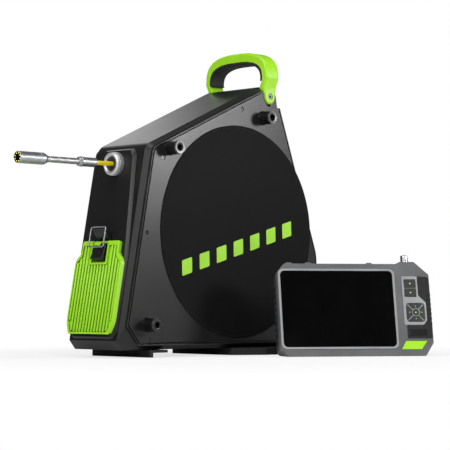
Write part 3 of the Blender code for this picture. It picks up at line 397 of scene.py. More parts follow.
# the lime's hollow colour is a painted shade for the valleys between its ribs
limePlastic = makePlastic("lime_plastic", {
    "deep": (0.30, 0.66, 0.012), "light": (0.36, 0.74, 0.018), "edge": (0.52, 0.88, 0.10),
    "hollow": (0.10, 0.26, 0.003), "wearAndPaintedLight": 0.4, "scratch": 0.06, "specular": 0.45, "rough": (0.34, 0.44),
    "grain": 900.0, "clouds": 11.0, "bump": 0.12, "depth": 0.06,
})
greyPlastic = makePlastic("grey_plastic", {
    "deep": (0.098, 0.10, 0.104), "light": (0.128, 0.13, 0.135), "edge": (0.34, 0.345, 0.355),
    "wearAndPaintedLight": 0.6, "scratch": 0.1, "specular": 0.4, "rough": (0.4, 0.5),
    "grain": 900.0, "clouds": 16.0, "bump": 0.15, "depth": 0.06,
})
paleGrey = makePlastic("pale_grey_plastic", {
    "deep": (0.27, 0.275, 0.28), "light": (0.33, 0.335, 0.34), "edge": (0.5, 0.5, 0.51),
    "wearAndPaintedLight": 0.6, "scratch": 0.08, "specular": 0.45, "rough": (0.3, 0.42),
    "grain": 1200.0, "clouds": 20.0, "bump": 0.1, "depth": 0.05,
})
charcoal = makePlastic("charcoal_plastic", {
    "deep": (0.028, 0.029, 0.031), "light": (0.042, 0.043, 0.046), "edge": (0.12, 0.12, 0.125),
    "wearAndPaintedLight": 0.5, "scratch": 0.08, "specular": 0.35, "rough": (0.45, 0.6),
    "grain": 800.0, "clouds": 18.0, "bump": 0.2, "depth": 0.08,
})
rodSheath = makePlastic("rod_sheath", {
    "deep": (0.76, 0.58, 0.008), "light": (0.88, 0.70, 0.012), "edge": (0.95, 0.8, 0.1),
    "wearAndPaintedLight": 0.2, "scratch": 0.15, "specular": 0.5, "rough": (0.25, 0.38),
    "grain": 1500.0, "clouds": 60.0, "bump": 0.06, "depth": 0.04,
})
greenBoard = makePlastic("green_board", {
    "deep": (0.008, 0.10, 0.035), "light": (0.014, 0.15, 0.05), "edge": (0.35, 0.3, 0.12),
    "wearAndPaintedLight": 0.4, "scratch": 0.3, "specular": 0.5, "rough": (0.3, 0.45),
    "grain": 400.0, "clouds": 90.0, "bump": 0.2, "depth": 0.1,
})
cleanSteel = makeMetal("clean_steel", {
    "deep": (0.50, 0.51, 0.53), "light": (0.62, 0.63, 0.65), "edge": (0.85, 0.86, 0.88),
    "wearAndPaintedLight": 0.5, "rough": (0.2, 0.34), "lines": 1500.0, "bump": 0.15,
})
satinSteel = makeMetal("satin_steel", {
    "deep": (0.36, 0.365, 0.375), "light": (0.46, 0.465, 0.475), "edge": (0.78, 0.79, 0.81),
    "wearAndPaintedLight": 0.6, "rough": (0.36, 0.5), "lines": 1200.0, "bump": 0.2,
})
nutSteel = makeMetal("blasted_steel", {
    "deep": (0.62, 0.625, 0.63), "light": (0.74, 0.745, 0.75), "edge": (0.9, 0.9, 0.92),
    "wearAndPaintedLight": 0.5, "rough": (0.5, 0.62), "lines": 1300.0, "bump": 0.25,
})
agedSteel = makeMetal("aged_steel", {
    "deep": (0.13, 0.13, 0.135), "light": (0.19, 0.19, 0.2), "edge": (0.4, 0.4, 0.42),
    "wearAndPaintedLight": 0.5, "rough": (0.4, 0.5), "lines": 1100.0, "bump": 0.2,
})
darkSteel = makeMetal("dark_steel", {
    "deep": (0.02, 0.02, 0.022), "light": (0.035, 0.035, 0.038), "edge": (0.16, 0.16, 0.17),
    "wearAndPaintedLight": 0.4, "rough": (0.35, 0.5), "lines": 900.0, "bump": 0.2,
})


def makeScreen():
    # cover glass over an unlit panel, with faint wipe marks in its gloss
    made, tree, shader = startFinish("screen_cover", {"Specular IOR Level": 0.22})
    surface = addGroup(tree, mouldGroup, Grain_Scale=2200.0, Cloud_Scale=24.0)
    tone = mixTones(tree, surface.outputs["Clouds"], (0.0006, 0.0006, 0.0008), (0.0014, 0.0014, 0.0017))
    tree.links.new(tone, shader.inputs["Base Color"])
    rough = rampOf(tree, surface.outputs["Clouds"], 0.0, 1.0, 0.06, 0.13)
    tree.links.new(rough, shader.inputs["Roughness"])
    return made


def makeGlow(name, tone, strength):
    made, tree, shader = startFinish(name, {"Roughness": 0.3, "Emission Strength": strength})
    where = tree.nodes.new("ShaderNodeTexCoord").outputs["Object"]
    amount = rampOf(tree, addNoise(tree, where, 900.0, 2.0), 0.35, 0.65)
    pale = tuple(min(1.0, part * 1.25) for part in tone)
    lit = mixTones(tree, amount, tone, pale)
    tree.links.new(lit, shader.inputs["Base Color"])
    tree.links.new(lit, shader.inputs["Emission Color"])
    return made


screenCover = makeScreen()
ledGlow = makeGlow("led_glow", (0.95, 0.8, 0.12), 1.6)
# painted light: the key prints carry a faint emission, so they glow although they are no lamp
keyGlow = makeGlow("key_print_glow", (0.30, 0.62, 0.10), 0.15)
print("finishes ready")


# helpers that make pieces

def place(name, bm, finish, body, replaced=(), smooth=32, weighted=True):
    bmesh.ops.recalc_face_normals(bm, faces=bm.faces)
    mesh = bpy.data.meshes.new(name)
    bm.to_mesh(mesh)
    bm.free()
    mesh.shade_smooth()
    mesh.set_sharp_from_angle(angle=math.radians(smooth))
    mesh.materials.append(finish)
    piece = bpy.data.objects.new(name, mesh)
    bpy.context.collection.objects.link(piece)
    if weighted:
        evened = piece.modifiers.new("even_shading", "WEIGHTED_NORMAL")
        evened.keep_sharp = True
    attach(piece, body)
    if replaced:
        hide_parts(*replaced)
    return piece


def bevelEdges(bm, edges, width, segments=3):
    bmesh.ops.bevel(
        bm, geom=list(edges), offset=width * mm, offset_type="OFFSET", segments=segments, profile=0.5,
        affect="EDGES", clamp_overlap=False, material=-1,
    )


def sharpEdges(bm, angle):
    limit = math.radians(angle)
    return [edge for edge in bm.edges if len(edge.link_faces) == 2 and edge.calc_face_angle(0) > limit]


def copied(node):
    bm = bmesh.new()
    bm.from_mesh(nodes[node].data)
    bmesh.ops.remove_doubles(bm, verts=bm.verts, dist=0.00002)
    bmesh.ops.dissolve_limit(bm, angle_limit=math.radians(0.5), verts=bm.verts, edges=bm.edges)
    return bm


def refined(node, name, finish, body, width, segments=3, angle=28):
    bm = copied(node)
    bevelEdges(bm, sharpEdges(bm, angle), width, segments)
    return place(name, bm, finish, body, (node,))


def outlined(points, roundings, segments=5):
    bm = bmesh.new()
    corners = [bm.verts.new(point) for point in points]
    bm.faces.new(corners)
    for corner, rounding in zip(corners, roundings):
        if rounding:
            bmesh.ops.bevel(
                bm, geom=[corner], offset=rounding * mm, offset_type="OFFSET", segments=segments, profile=0.5,
                affect="VERTICES", clamp_overlap=True, material=-1,
            )
    return bm


def thicken(bm, direction):
    made = bmesh.ops.extrude_face_region(bm, geom=bm.faces[:])
    moved = [item for item in made["geom"] if isinstance(item, bmesh.types.BMVert)]
    bmesh.ops.translate(bm, verts=moved, vec=direction)
    bmesh.ops.recalc_face_normals(bm, faces=bm.faces)
    return moved


def turnedShape(profile, centre, axis, steps=64):
    along = Vector(axis).normalized()
    side = Vector((0, 0, 1)) if abs(along.z) < 0.9 else Vector((1, 0, 0))
    bm = bmesh.new()
    middle = Vector(centre)
    line = [bm.verts.new(middle + (along * reach + side * radius) * mm) for reach, radius in profile]
    edges = [bm.edges.new((line[index], line[index + 1])) for index in range(len(line) - 1)]
    bmesh.ops.spin(
        bm, geom=line + edges, cent=centre, axis=along, angle=2 * math.pi, steps=steps, use_merge=True
    )
    bmesh.ops.remove_doubles(bm, verts=bm.verts, dist=0.000005)
    bmesh.ops.recalc_face_normals(bm, faces=bm.faces)
    return bm


def cutAway(piece, cutter):
    bmesh.ops.recalc_face_normals(cutter, faces=cutter.faces)
    mesh = bpy.data.meshes.new("cutter")
    cutter.to_mesh(mesh)
    cutter.free()
    tool = bpy.data.objects.new("cutter", mesh)
    bpy.context.collection.objects.link(tool)
    boolean = piece.modifiers.new("cut", "BOOLEAN")
    boolean.object = tool
    with bpy.context.temp_override(object=piece, active_object=piece, selected_objects=[piece]):
        bpy.ops.object.modifier_apply(modifier="cut")
    bpy.data.objects.remove(tool)
    bpy.data.meshes.remove(mesh)


# push rod and camera

rod = {"radius": 3.0, "points": 15}
head = {"lamps": 8, "lampRing": 5.2, "lampRadius": 0.65, "lampBehind": 0.95}


def addRod():
    # the sheath runs on through the collar and the neck, up to the head
    low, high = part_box("push_rod")
    low.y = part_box("camera_head")[1].y
    data = bpy.data.curves.new("push_rod_sheath", "CURVE")
    data.dimensions = "3D"
    data.bevel_depth = rod["radius"] * mm
    data.bevel_resolution = 6
    data.use_fill_caps = True
    line = data.splines.new("POLY")
    line.points.add(rod["points"] - 1)
    height = (low.z + high.z) / 2
    for index, point in enumerate(line.points):
        share = index / (rod["points"] - 1)
        point.co = (reelMiddle, high.y + (low.y - high.y) * share, height, 1)
    data.materials.append(rodSheath)
    sheath = bpy.data.objects.new("push_rod_sheath", data)
    bpy.context.collection.objects.link(sheath)
    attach(sheath, "push_rod")
    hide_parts("push_rod")
    return sheath


def addCameraPieces():
    pieces = []
    centre = Vector((reelMiddle, 0, (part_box("push_rod")[0].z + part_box("push_rod")[1].z) / 2))
    outward = (0, -1, 0)
    back, front = -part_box("camera_collar")[1].y / mm, -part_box("camera_collar")[0].y / mm
    collar = [
        (back, 0), (back, 5.6), (back + 0.6, 6.2), (front - 7.4, 6.2), (front - 7, 6.7), (front - 4.2, 6.7),
        (front - 3.8, 5.9), (front - 3.2, 5.9), (front - 2.8, 6.4), (front - 1.4, 6.1), (front, 4.7),
        (front, 0),
    ]
    pieces.append(("rod_collar", collar, satinSteel, "camera_collar"))
    back, front = -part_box("camera_neck")[1].y / mm, -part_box("camera_neck")[0].y / mm
    neck = [(back, 0), (back, 4.1)]
    middle = (back + front) / 2
    for start in (back + 4, middle - 8, middle + 7, front - 5):  # pairs of fine rings on the flexible neck
        neck += [(start, 4.1), (start + 0.3, 3.75), (start + 0.8, 3.75), (start + 1.1, 4.1)]
    neck += [(front, 4.1), (front, 0)]
    pieces.append(("flexible_neck", neck, satinSteel, "camera_neck"))
    back, front = -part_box("camera_head")[1].y / mm, -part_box("camera_head")[0].y / mm
    tube = [
        (back, 0), (back, 5.0), (back + 0.8, 5.9), (back + 5, 7.6), (back + 5.6, 7.8), (back + 12, 7.8),
        (back + 12.3, 7.5), (back + 12.9, 7.5), (back + 13.2, 7.8), (front - 0.8, 7.8), (front - 0.2, 7.4),
        (front, 7.0), (front - 0.3, 6.5), (front - 2.4, 6.4), (front - 2.4, 0),
    ]
    pieces.append(("head_tube", tube, satinSteel, "camera_head"))
    made = []
    for name, profile, finish, node in pieces:
        bm = turnedShape(profile, centre, outward, 72)
        made.append(place(name, bm, finish, "push_rod", (node,), 25))
    window = [
        (front - 2.2, 0), (front - 2.2, 6.1), (front - 0.9, 6.1), (front - 0.8, 3.0), (front - 0.6, 2.2),
        (front - 0.5, 0),
    ]
    bm = turnedShape(window, centre, outward, 48)
    made.append(place("lens_window", bm, screenCover, "push_rod", ("camera_window",), 25))
    ring, behind = head["lampRing"], head["lampBehind"]
    for index in range(head["lamps"]):  # ring of lamps round the lens
        turn = 2 * math.pi * (index + 0.5) / head["lamps"]
        spot = centre + Vector((math.cos(turn) * ring, -(front - behind), math.sin(turn) * ring)) * mm
        lamp = bmesh.new()
        bmesh.ops.create_icosphere(lamp, subdivisions=2, radius=head["lampRadius"] * mm)
        bmesh.ops.scale(lamp, vec=(1, 0.5, 1), verts=lamp.verts)
        bmesh.ops.translate(lamp, vec=spot, verts=lamp.verts)
        made.append(place("head_lamp_%d" % index, lamp, ledGlow, "push_rod", weighted=False))
    return made


rodSheathPiece = addRod()
cameraPieces = addCameraPieces()
print("rod and camera ready")


# gland nut

nut = {"teeth": 44, "depth": 0.9, "radius": 16.0, "bore": 9.9}


def addNut():
    low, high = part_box("gland_nut")
    centre = Vector((reelMiddle, 0, (low.z + high.z) / 2))
    back, front = -high.y / mm, -low.y / mm
    radius, bore = nut["radius"], nut["bore"]
    root = radius - nut["depth"] - 0.3
    profile = [
        (back, bore), (back, root), (back + 0.4, root), (back + 0.8, radius), (front - 4.6, radius),
        (front - 4.2, root), (front - 3.4, root), (front - 3.2, radius - 0.5), (front - 1.6, radius - 0.8),
        (front - 0.4, radius - 2.2), (front, radius - 3.2), (front - 0.2, bore + 1.6),
        (front - 1.4, bore + 0.2), (back, bore),
    ]
    steps = nut["teeth"] * 4
    bm = turnedShape(profile, centre, (0, -1, 0), steps)
    for vert in bm.verts:
        out = Vector((vert.co.x - centre.x, 0, vert.co.z - centre.z))
        if out.length < (radius - 0.05) * mm:
            continue
        step = round(math.atan2(out.z, out.x) / (2 * math.pi) * steps) % 4
        if step in (0, 1):
            vert.co -= out.normalized() * nut["depth"] * mm
    place("knurled_nut", bm, nutSteel, "gland_nut", ("gland_nut",), 30)


def addGland():
    for node, name, finish, slotName in (
        ("gland_body", "gland_sleeve", charcoal, "satin_black"),
        ("gland_seal", "wiper_seal", blackRubber, "black_rubber"),
    ):
        refined(node, name, finish, "housing", 0.25, 2)


addNut()
addGland()
print("gland ready")


# housing

housing = {
    "edge": 0.55, "coverEdge": 0.5, "panelEdge": 0.8, "frontFootEdge": 0.6, "rearFootEdge": 1.0,
    "boltRadius": 2.9, "boltSocket": 0.8, "pivotRadius": 4.5, "pivotSocket": 2.4,
}


def addHousing():
    refined("main_shell", "shell_moulding", blackPlastic, "housing", housing["edge"], 3, 24)
    for side in ("right", "left"):
        node = side + "_cover"
        refined(node, node + "_moulding", blackPlastic, "housing", housing["coverEdge"])
    refined("front_fascia", "front_panel", blackPlastic, "housing", housing["panelEdge"])
    refined("front_foot", "front_foot_pad", blackRubber, "housing", housing["frontFootEdge"])
    refined("rear_foot", "rear_foot_pad", blackRubber, "housing", housing["rearFootEdge"])


def addDiscs():
    centre = spots["drum_spin"]
    radius = (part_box("right_disc")[1].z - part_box("right_disc")[0].z) / 2 / mm
    for side, way in (("right", 1), ("left", -1)):
        low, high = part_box(side + "_disc")
        outer = abs((high.x if way == 1 else low.x) - reelMiddle) / mm
        profile = [
            (outer - 0.35, 0), (outer - 0.35, 30), (outer, 30.6), (outer, radius - 3.6),
            (outer - 0.5, radius - 3.1), (outer - 0.5, radius - 1.0), (outer - 0.9, radius),
            (outer - 1.4, radius), (outer - 1.4, radius - 14), (outer - 4.6, radius - 14),
            (outer - 4.6, 18), (outer - 11.8, 18), (outer - 11.8, 8.4),
            (outer - 1.6, 8.4), (outer - 1.6, 0),
        ]
        bm = turnedShape(profile, centre, (way, 0, 0), 160)
        place(side + "_drum_cover", bm, discPlastic, "housing", (side + "_disc",), 20)


def addPosts():
    for node in ("post_upper_front", "post_upper_rear", "post_lower_front", "post_lower_rear"):
        low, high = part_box(node)
        centre = Vector((0, (low.y + high.y) / 2, (low.z + high.z) / 2))
        base, tip = low.x / mm, high.x / mm
        profile = [
            (base, 0), (base, 10), (base + 1.2, 9.9), (base + 2.4, 9.3), (tip - 2.2, 9.0), (tip - 1.9, 8.5),
            (tip - 1.3, 8.5), (tip - 1.1, 8.9), (tip - 0.3, 8.9), (tip, 8.5), (tip, 5.4), (tip - 0.5, 4.4),
            (tip - 1.0, 4.0), (tip - 12, 4.0), (tip - 12, 0),
        ]
        bm = turnedShape(profile, centre, (1, 0, 0), 56)
        place(node + "_boss", bm, glossBlack, "housing", (node,), 30)


def addSocketScrew(node, name, finish, way, radius, hollowShadeAmount):
    # a round head with a hexagonal socket
    low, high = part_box(node)
    centre = Vector((0, (low.y + high.y) / 2, (low.z + high.z) / 2))
    base, tip = (low.x, high.x) if way == 1 else (-high.x, -low.x)
    base, tip = base / mm, tip / mm
    socket = radius * 0.5
    profile = [(base, 0), (base, radius), (tip - 0.35, radius), (tip, radius - 0.35), (tip, socket + 0.2)]
    bm = turnedShape(profile, centre, (way, 0, 0), 48)
    rim = [edge for edge in bm.edges if edge.is_boundary]
    wall = bmesh.ops.create_circle(bm, cap_ends=False, segments=6, radius=socket * mm)
    spot = Matrix.Translation(centre + Vector((way * tip * mm, 0, 0)))
    turn = Matrix.Rotation(math.radians(90), 4, "Y")
    bmesh.ops.transform(bm, matrix=spot @ turn, verts=wall["verts"])
    hexEdges = [edge for edge in bm.edges if all(vert in wall["verts"] for vert in edge.verts)]
    bmesh.ops.bridge_loops(bm, edges=rim + hexEdges)
    deep = bmesh.ops.extrude_edge_only(bm, edges=hexEdges)
    lowered = [item for item in deep["geom"] if isinstance(item, bmesh.types.BMVert)]
    bmesh.ops.translate(bm, verts=lowered, vec=(-way * hollowShadeAmount * mm, 0, 0))
    floorEdges = [item for item in deep["geom"] if isinstance(item, bmesh.types.BMEdge)]
    bmesh.ops.contextual_create(bm, geom=[edge for edge in floorEdges if edge.is_boundary])
    place(name, bm, finish, "housing", (node,), 30)


def addScrews():
    radius, hollowShadeAmount = housing["boltRadius"], housing["boltSocket"]
    for number in range(1, 5):
        addSocketScrew("cover_screw_%d" % number, "cover_bolt_%d" % number, glossBlack, 1, radius, hollowShadeAmount)
    radius, hollowShadeAmount = housing["pivotRadius"], housing["pivotSocket"]
    for side, way in (("right", 1), ("left", -1)):
        addSocketScrew("pivot_screw_" + side, "pivot_bolt_" + side, agedSteel, way, radius, hollowShadeAmount)


# slanted bars across the round cover, in place of any wording
mark = {
    "start": (56, 117), "end": (269, 176), "bars": 7, "barWidth": 19, "height": 20, "slant": 5,
    "proud": 0.2, "rounding": 1.6,
}


def addMark():
    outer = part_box("right_disc")[1].x + 0.00002
    origin = Vector((0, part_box("front_foot")[0].y, 0))
    start = Vector((0, *mark["start"]))
    way = (Vector((0, *mark["end"])) - start).normalized()
    up = Vector((0, -way.z, way.y))
    length = (Vector((0, *mark["end"])) - start).length
    pitch = (length - mark["barWidth"]) / (mark["bars"] - 1)
    for index in range(mark["bars"]):
        left = start + way * pitch * index
        width = way * mark["barWidth"]
        rise = (up * mark["height"] + way * mark["slant"]) / 2
        shape = [left - rise, left - rise + width, left + rise + width, left + rise]
        points = [origin + point * mm + Vector((outer, 0, 0)) for point in shape]
        bm = outlined(points, [mark["rounding"]] * 4, 3)
        thicken(bm, (mark["proud"] * mm, 0, 0))
        place("side_bar_%d" % index, bm, limePlastic, "housing", weighted=False)


addHousing()
addDiscs()
addPosts()
addScrews()
addMark()
print("housing ready")


# battery cover and its latch

front = {"lean": 11.0, "hinge": (-8.3, 9.0)}  # the hinge's depth and distance up the front
tilt = Matrix.Rotation(-math.radians(front["lean"]), 3, "X")


def onFront(across, depth, up):
    hingeDepth, hingeUp = front["hinge"]
    return spots["battery_cover_swing"] + tilt @ Vector((across, depth - hingeDepth, up - hingeUp)) * mm


door = {
    "back": -5.3, "face": -11.0, "field": -8.7, "crest": -11.3, "low": 6.5, "high": 131.0,
    "pitch": 5.8, "ridge": 3.7, "border": 3.0, "topBorder": 6.0,
    "pocketHalf": 14.0, "pocketLow": 102.0, "pocketFloor": -7.8, "surround": 3.0,
    "hingeHalf": 35.8, "hingeFace": -10.4, "hingeSide": -8.3, "hingeUp": 2.5,
}


def doorOutline(margin):
    # right half from the bottom up, then mirrored
    low, high = door["low"], door["high"]
    half = [(39.5, low), (46, low + 16), (46, high - 26), (36, high - 16), (36, high)]
    points = half + [(-x, up) for x, up in reversed(half)]
    middle = (low + high) / 2
    moved = []
    for x, up in points:
        moved.append((x - math.copysign(margin, x), up - math.copysign(margin, up - middle)))
    return moved


def fieldShape(back, face):
    # the sunk area that holds the ribs
    points = [(x, min(up, door["high"] - door["topBorder"])) for x, up in doorOutline(door["border"])]
    bm = outlined([onFront(x, back, up) for x, up in points], [2] * len(points), 3)
    thicken(bm, tilt @ Vector((0, face - back, 0)) * mm)
    return bm


def addSurround():
    # a flat band round the latch's pocket
    half, wide = door["pocketHalf"], door["surround"]
    low, high = door["pocketLow"] - wide, door["high"] - door["topBorder"] + 0.5
    shape = [
        (-half - wide, high), (-half - wide, low), (half + wide, low), (half + wide, high), (half, high),
        (half, low + wide), (-half, low + wide), (-half, high),
    ]
    bm = outlined([onFront(x, door["field"] + 0.4, up) for x, up in shape], [0, 2, 2, 0, 0, 0.5, 0.5, 0], 3)
    moved = set(thicken(bm, tilt @ Vector((0, door["face"] - door["field"] - 0.4, 0)) * mm))
    rims = [edge for edge in sharpEdges(bm, 40) if all(vert in moved for vert in edge.verts)]
    bevelEdges(bm, rims, 0.35, 2)
    place("latch_surround", bm, limePlastic, "battery_cover", smooth=30)


def addDoor():
    outline = doorOutline(0)
    points = [onFront(x, door["back"], up) for x, up in outline]
    bm = outlined(points, [3, 6, 6, 3, 3, 3, 3, 6, 6, 3], 4)
    moved = set(thicken(bm, tilt @ Vector((0, door["face"] - door["back"], 0)) * mm))
    rimEdges = [edge for edge in bm.edges if all(vert in moved for vert in edge.verts)]
    bevelEdges(bm, rimEdges, 1.1, 3)
    piece = place("battery_door", bm, limePlastic, "battery_cover", ("battery_cover",), 30)
    back = door["back"] + 3
    low, high = door["low"], door["high"]
    cutAway(piece, fieldShape(door["field"], door["face"] - 6))
    half, outer = door["pocketHalf"], door["face"] - 8
    below, wide, hingeTop = low - 4, 50, low + door["hingeUp"]
    for box in (  # three steps along the hinged edge, then the latch's pocket
        ((-door["hingeHalf"], door["hingeFace"], below), (door["hingeHalf"], back, hingeTop)),
        ((-wide, door["hingeSide"], below), (wide, back, hingeTop)),
        ((-wide, outer, below), (wide, back, low + 0.5)),
        ((-half, outer, door["pocketLow"]), (half, door["pocketFloor"], high + 4)),
    ):
        cutter = bmesh.new()
        bmesh.ops.create_cube(cutter, size=1)
        (x0, d0, s0), (x1, d1, s1) = box
        shape = Matrix.Diagonal(((x1 - x0) * mm, (d1 - d0) * mm, (s1 - s0) * mm, 1))
        spot = Matrix.Translation(onFront((x0 + x1) / 2, (d0 + d1) / 2, (s0 + s1) / 2))
        bmesh.ops.transform(cutter, matrix=spot @ tilt.to_4x4() @ shape, verts=cutter.verts)
        cutAway(piece, cutter)


def addDoorRibs():
    # rounded ridges that end at the border, and stop under the latch's pocket
    limit = [(x, min(up, door["high"] - door["topBorder"])) for x, up in doorOutline(door["border"] + 0.4)]
    count = int((limit[1][0] * 2) // door["pitch"])
    half = limit[:5]

    def reach(x):
        low, high = half[0][1], half[4][1]
        x = abs(x)
        if x > half[0][0]:
            low += (x - half[0][0]) / (half[1][0] - half[0][0]) * (half[1][1] - half[0][1])
        if x > half[4][0]:
            high = half[3][1] - (x - half[3][0]) / (half[2][0] - half[3][0]) * (half[3][1] - half[2][1])
        if x < door["pocketHalf"] + door["surround"] + door["ridge"] + 0.2:
            high = door["pocketLow"] - door["surround"] - 0.4
        return low, high

    for index in range(count + 1):
        x = (index - count / 2) * door["pitch"]
        low, high = reach(abs(x) + door["ridge"] / 2)
        wide, root, shoulder = door["ridge"] / 2, door["field"] + 0.3, door["field"] - 1.2
        section = [
            (x - wide, root), (x - wide, shoulder), (x - wide * 0.5, door["crest"]),
            (x + wide * 0.5, door["crest"]), (x + wide, shoulder), (x + wide, root),
        ]
        corners = [onFront(across, depth, low) for across, depth in section]
        bm = outlined(corners, [0, 0.5, 0.6, 0.6, 0.5, 0], 3)
        thicken(bm, (tilt @ Vector((0, 0, high - low))) * mm)
        ends = [face for face in bm.faces if len(face.verts) > 4]
        bevelEdges(bm, {edge for face in ends for edge in face.edges}, 0.45, 2)
        place("door_rib_%02d" % index, bm, limePlastic, "battery_cover", weighted=False)


latch = {
    "insertHalf": 6, "insertLow": 123.6, "insertHigh": 127.6, "insertDepth": -16.0, "insertProud": 0.6,
    "bars": 3, "barHalf": 10.5, "barLow": 136, "barPitch": 3.2, "barHeight": 1.5, "barDeep": 3,
    "slopeDepth": -7.1, "slopeFrom": 133, "slope": 13.1 / 12,  # the catch's sloping face
}


def addLatch():
    refined("latch_lever", "latch_arm", blackPlastic, "latch_lever", 0.9)
    refined("latch_catch", "latch_hook", blackPlastic, "housing", 0.4)
    half, low, high = latch["insertHalf"], latch["insertLow"], latch["insertHigh"]
    insert = [(-half, low), (half, low), (half, high), (-half, high)]
    bm = outlined([onFront(x, latch["insertDepth"], up) for x, up in insert], [0.8] * 4, 3)
    thicken(bm, tilt @ Vector((0, -latch["insertProud"], 0)) * mm)
    place("latch_insert", bm, limePlastic, "latch_lever", weighted=False)
    half = latch["barHalf"]
    for index in range(latch["bars"]):  # grip bars across the catch's sloping face
        low = latch["barLow"] + index * latch["barPitch"]
        high = low + latch["barHeight"]
        depth = latch["slopeDepth"] - (low - latch["slopeFrom"]) * latch["slope"]
        bar = [(-half, low), (half, low), (half, high), (-half, high)]
        bm = outlined([onFront(x, depth, up) for x, up in bar], [0.4] * 4, 2)
        thicken(bm, (tilt @ Vector((0, latch["barDeep"], 0))) * mm)
        place("catch_bar_%d" % index, bm, blackPlastic, "housing", weighted=False)


bail = {"wire": 1.05, "half": 14.4, "corner": 3.0}


def addBail():
    pivot = spots["wire_bail_swing"]
    low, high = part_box("wire_bail")
    length = (high.z - low.z) / math.cos(math.radians(front["lean"])) / mm - 2 * bail["wire"] - 0.6
    up = tilt @ Vector((0, 0, 1))
    across = Vector((1, 0, 0))
    half, corner = bail["half"], bail["corner"]
    points = []
    for sideX, sideS, start in ((1, 0, -90), (1, 1, 0), (-1, 1, 90), (-1, 0, 180)):
        for step in range(5):
            turn = math.radians(start + 90 * step / 4)
            x = sideX * (half - corner) + corner * math.cos(turn)
            s = (length - corner if sideS else corner) + corner * math.sin(turn)
            points.append(pivot + (across * x + up * s) * mm)
    data = bpy.data.curves.new("bail_wire", "CURVE")
    data.dimensions = "3D"
    data.bevel_depth = bail["wire"] * mm
    data.bevel_resolution = 5
    line = data.splines.new("POLY")
    line.use_cyclic_u = True
    line.points.add(len(points) - 1)
    for point, spot in zip(line.points, points):
        point.co = (*spot, 1)
    data.materials.append(satinSteel)
    wire = bpy.data.objects.new("bail_wire", data)
    bpy.context.collection.objects.link(wire)
    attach(wire, "wire_bail")
    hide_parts("wire_bail")


addDoor()
addSurround()
addDoorRibs()
addLatch()
addBail()
print("battery door and latch ready")


# carry handle

handle = {
    "roundness": 2.9, "outerEdge": 3.4, "innerEdge": 0.7, "gripEdge": 1.1, "linerFoot": 22.0,
    "screwRoom": 6.5, "middleUp": 22.0, "archUp": 24.2,
    "outer": (61, 40.3), "inner": (52, 27.4), "linerOuter": (51.7, 27.1), "linerInner": (48.0, 23.6),
}


def archEdges(bm, outside):
    pivot = spots["handle_fold"]
    centre = Vector((pivot.x, 0, pivot.z + handle["middleUp"] * mm))
    found = []
    for edge in sharpEdges(bm, 40):
        middle = (edge.verts[0].co + edge.verts[1].co) / 2
        apart = math.hypot(middle.y - pivot.y, middle.z - pivot.z)
        if apart < handle["screwRoom"] * mm or not edge.is_convex:
            continue
        flanks = [face for face in edge.link_faces if abs(face.normal.y) < 0.5]
        if flanks and (max((middle - centre).dot(face.normal) for face in flanks) > 0) == outside:
            found.append(edge)
    return found


def roundArch(bm, parts):
    # lays the faceted arch on smooth curves: parts holds the outer and the inner (half width, height)
    pivot = spots["handle_fold"]
    start = pivot.z + handle["archUp"] * mm
    edges = []
    for edge in bm.edges:
        first, second = edge.verts
        if abs(first.co.y - second.co.y) < 0.5 * mm and min(first.co.z, second.co.z) > start - 0.5 * mm:
            edges.append(edge)
    bmesh.ops.subdivide_edges(bm, edges=edges, cuts=3, use_grid_fill=True)
    power = handle["roundness"]
    bm.normal_update()
    centre = Vector((pivot.x, 0, pivot.z + handle["middleUp"] * mm))
    raised = [vert for vert in bm.verts if vert.co.z > start]
    sides = []
    for vert in raised:
        flanks = [face for face in vert.link_faces if abs(face.normal.y) < 0.5]
        sides.append(sum((vert.co - centre).dot(face.normal) for face in flanks) > 0)
    for vert, outside in zip(raised, sides):
        x, z = (vert.co.x - pivot.x) / mm, (vert.co.z - start) / mm
        half, high = parts[0] if outside else parts[1]
        turn = math.atan2(z / high, abs(x) / half)
        reach = (math.cos(turn) ** power + math.sin(turn) ** power) ** (-1 / power)
        vert.co.x = pivot.x + math.copysign(half * math.cos(turn) * reach, x) * mm
        vert.co.z = start + high * math.sin(turn) * reach * mm


def addHandle():
    bm = copied("handle_shell")
    roundArch(bm, [handle["outer"], handle["inner"]])
    bevelEdges(bm, archEdges(bm, True), handle["outerEdge"], 5)
    bevelEdges(bm, archEdges(bm, False), handle["innerEdge"], 2)
    place("handle_arch", bm, limePlastic, "carry_handle", ("handle_shell",), 40)


def addLiner():
    # the soft liner follows the inside of the arch, down to just above the housing
    pivot = spots["handle_fold"]
    low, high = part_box("handle_grip")
    power, steps = handle["roundness"], 24
    foot = handle["linerFoot"]
    outline = []
    for (half, tall), way in ((handle["linerOuter"], 1), (handle["linerInner"], -1)):
        line = [(half - 1.2, foot)]
        for step in range(steps + 1):
            turn = math.pi * step / steps
            across, up = abs(math.cos(turn)), math.sin(turn)
            reach = (across ** power + up ** power) ** (-1 / power)
            x = math.copysign(half * across * reach, math.cos(turn))
            line.append((x, handle["archUp"] + tall * up * reach))
        line.append((1.2 - half, foot))
        outline += line[::way]
    points = [(pivot.x + x * mm, low.y, pivot.z + up * mm) for x, up in outline]
    bm = outlined(points, [0] * len(points))
    thicken(bm, (0, high.y - low.y, 0))
    bevelEdges(bm, [edge for edge in sharpEdges(bm, 40) if edge.is_convex], handle["gripEdge"], 3)
    place("handle_liner", bm, blackRubber, "carry_handle", ("handle_grip",), 40)


addHandle()
addLiner()
print("handle ready")


# handset

handset = {"lean": 13.0, "turn": 56.8, "standAt": (103.0, 44.8, 66.0)}
handsetTurn = Matrix.Rotation(math.radians(handset["turn"]), 3, "Z") @ Matrix.Rotation(
    -math.radians(handset["lean"]), 3, "X"
)
handsetCorner = spots["stand_fold"] - handsetTurn @ (Vector(handset["standAt"]) * mm)


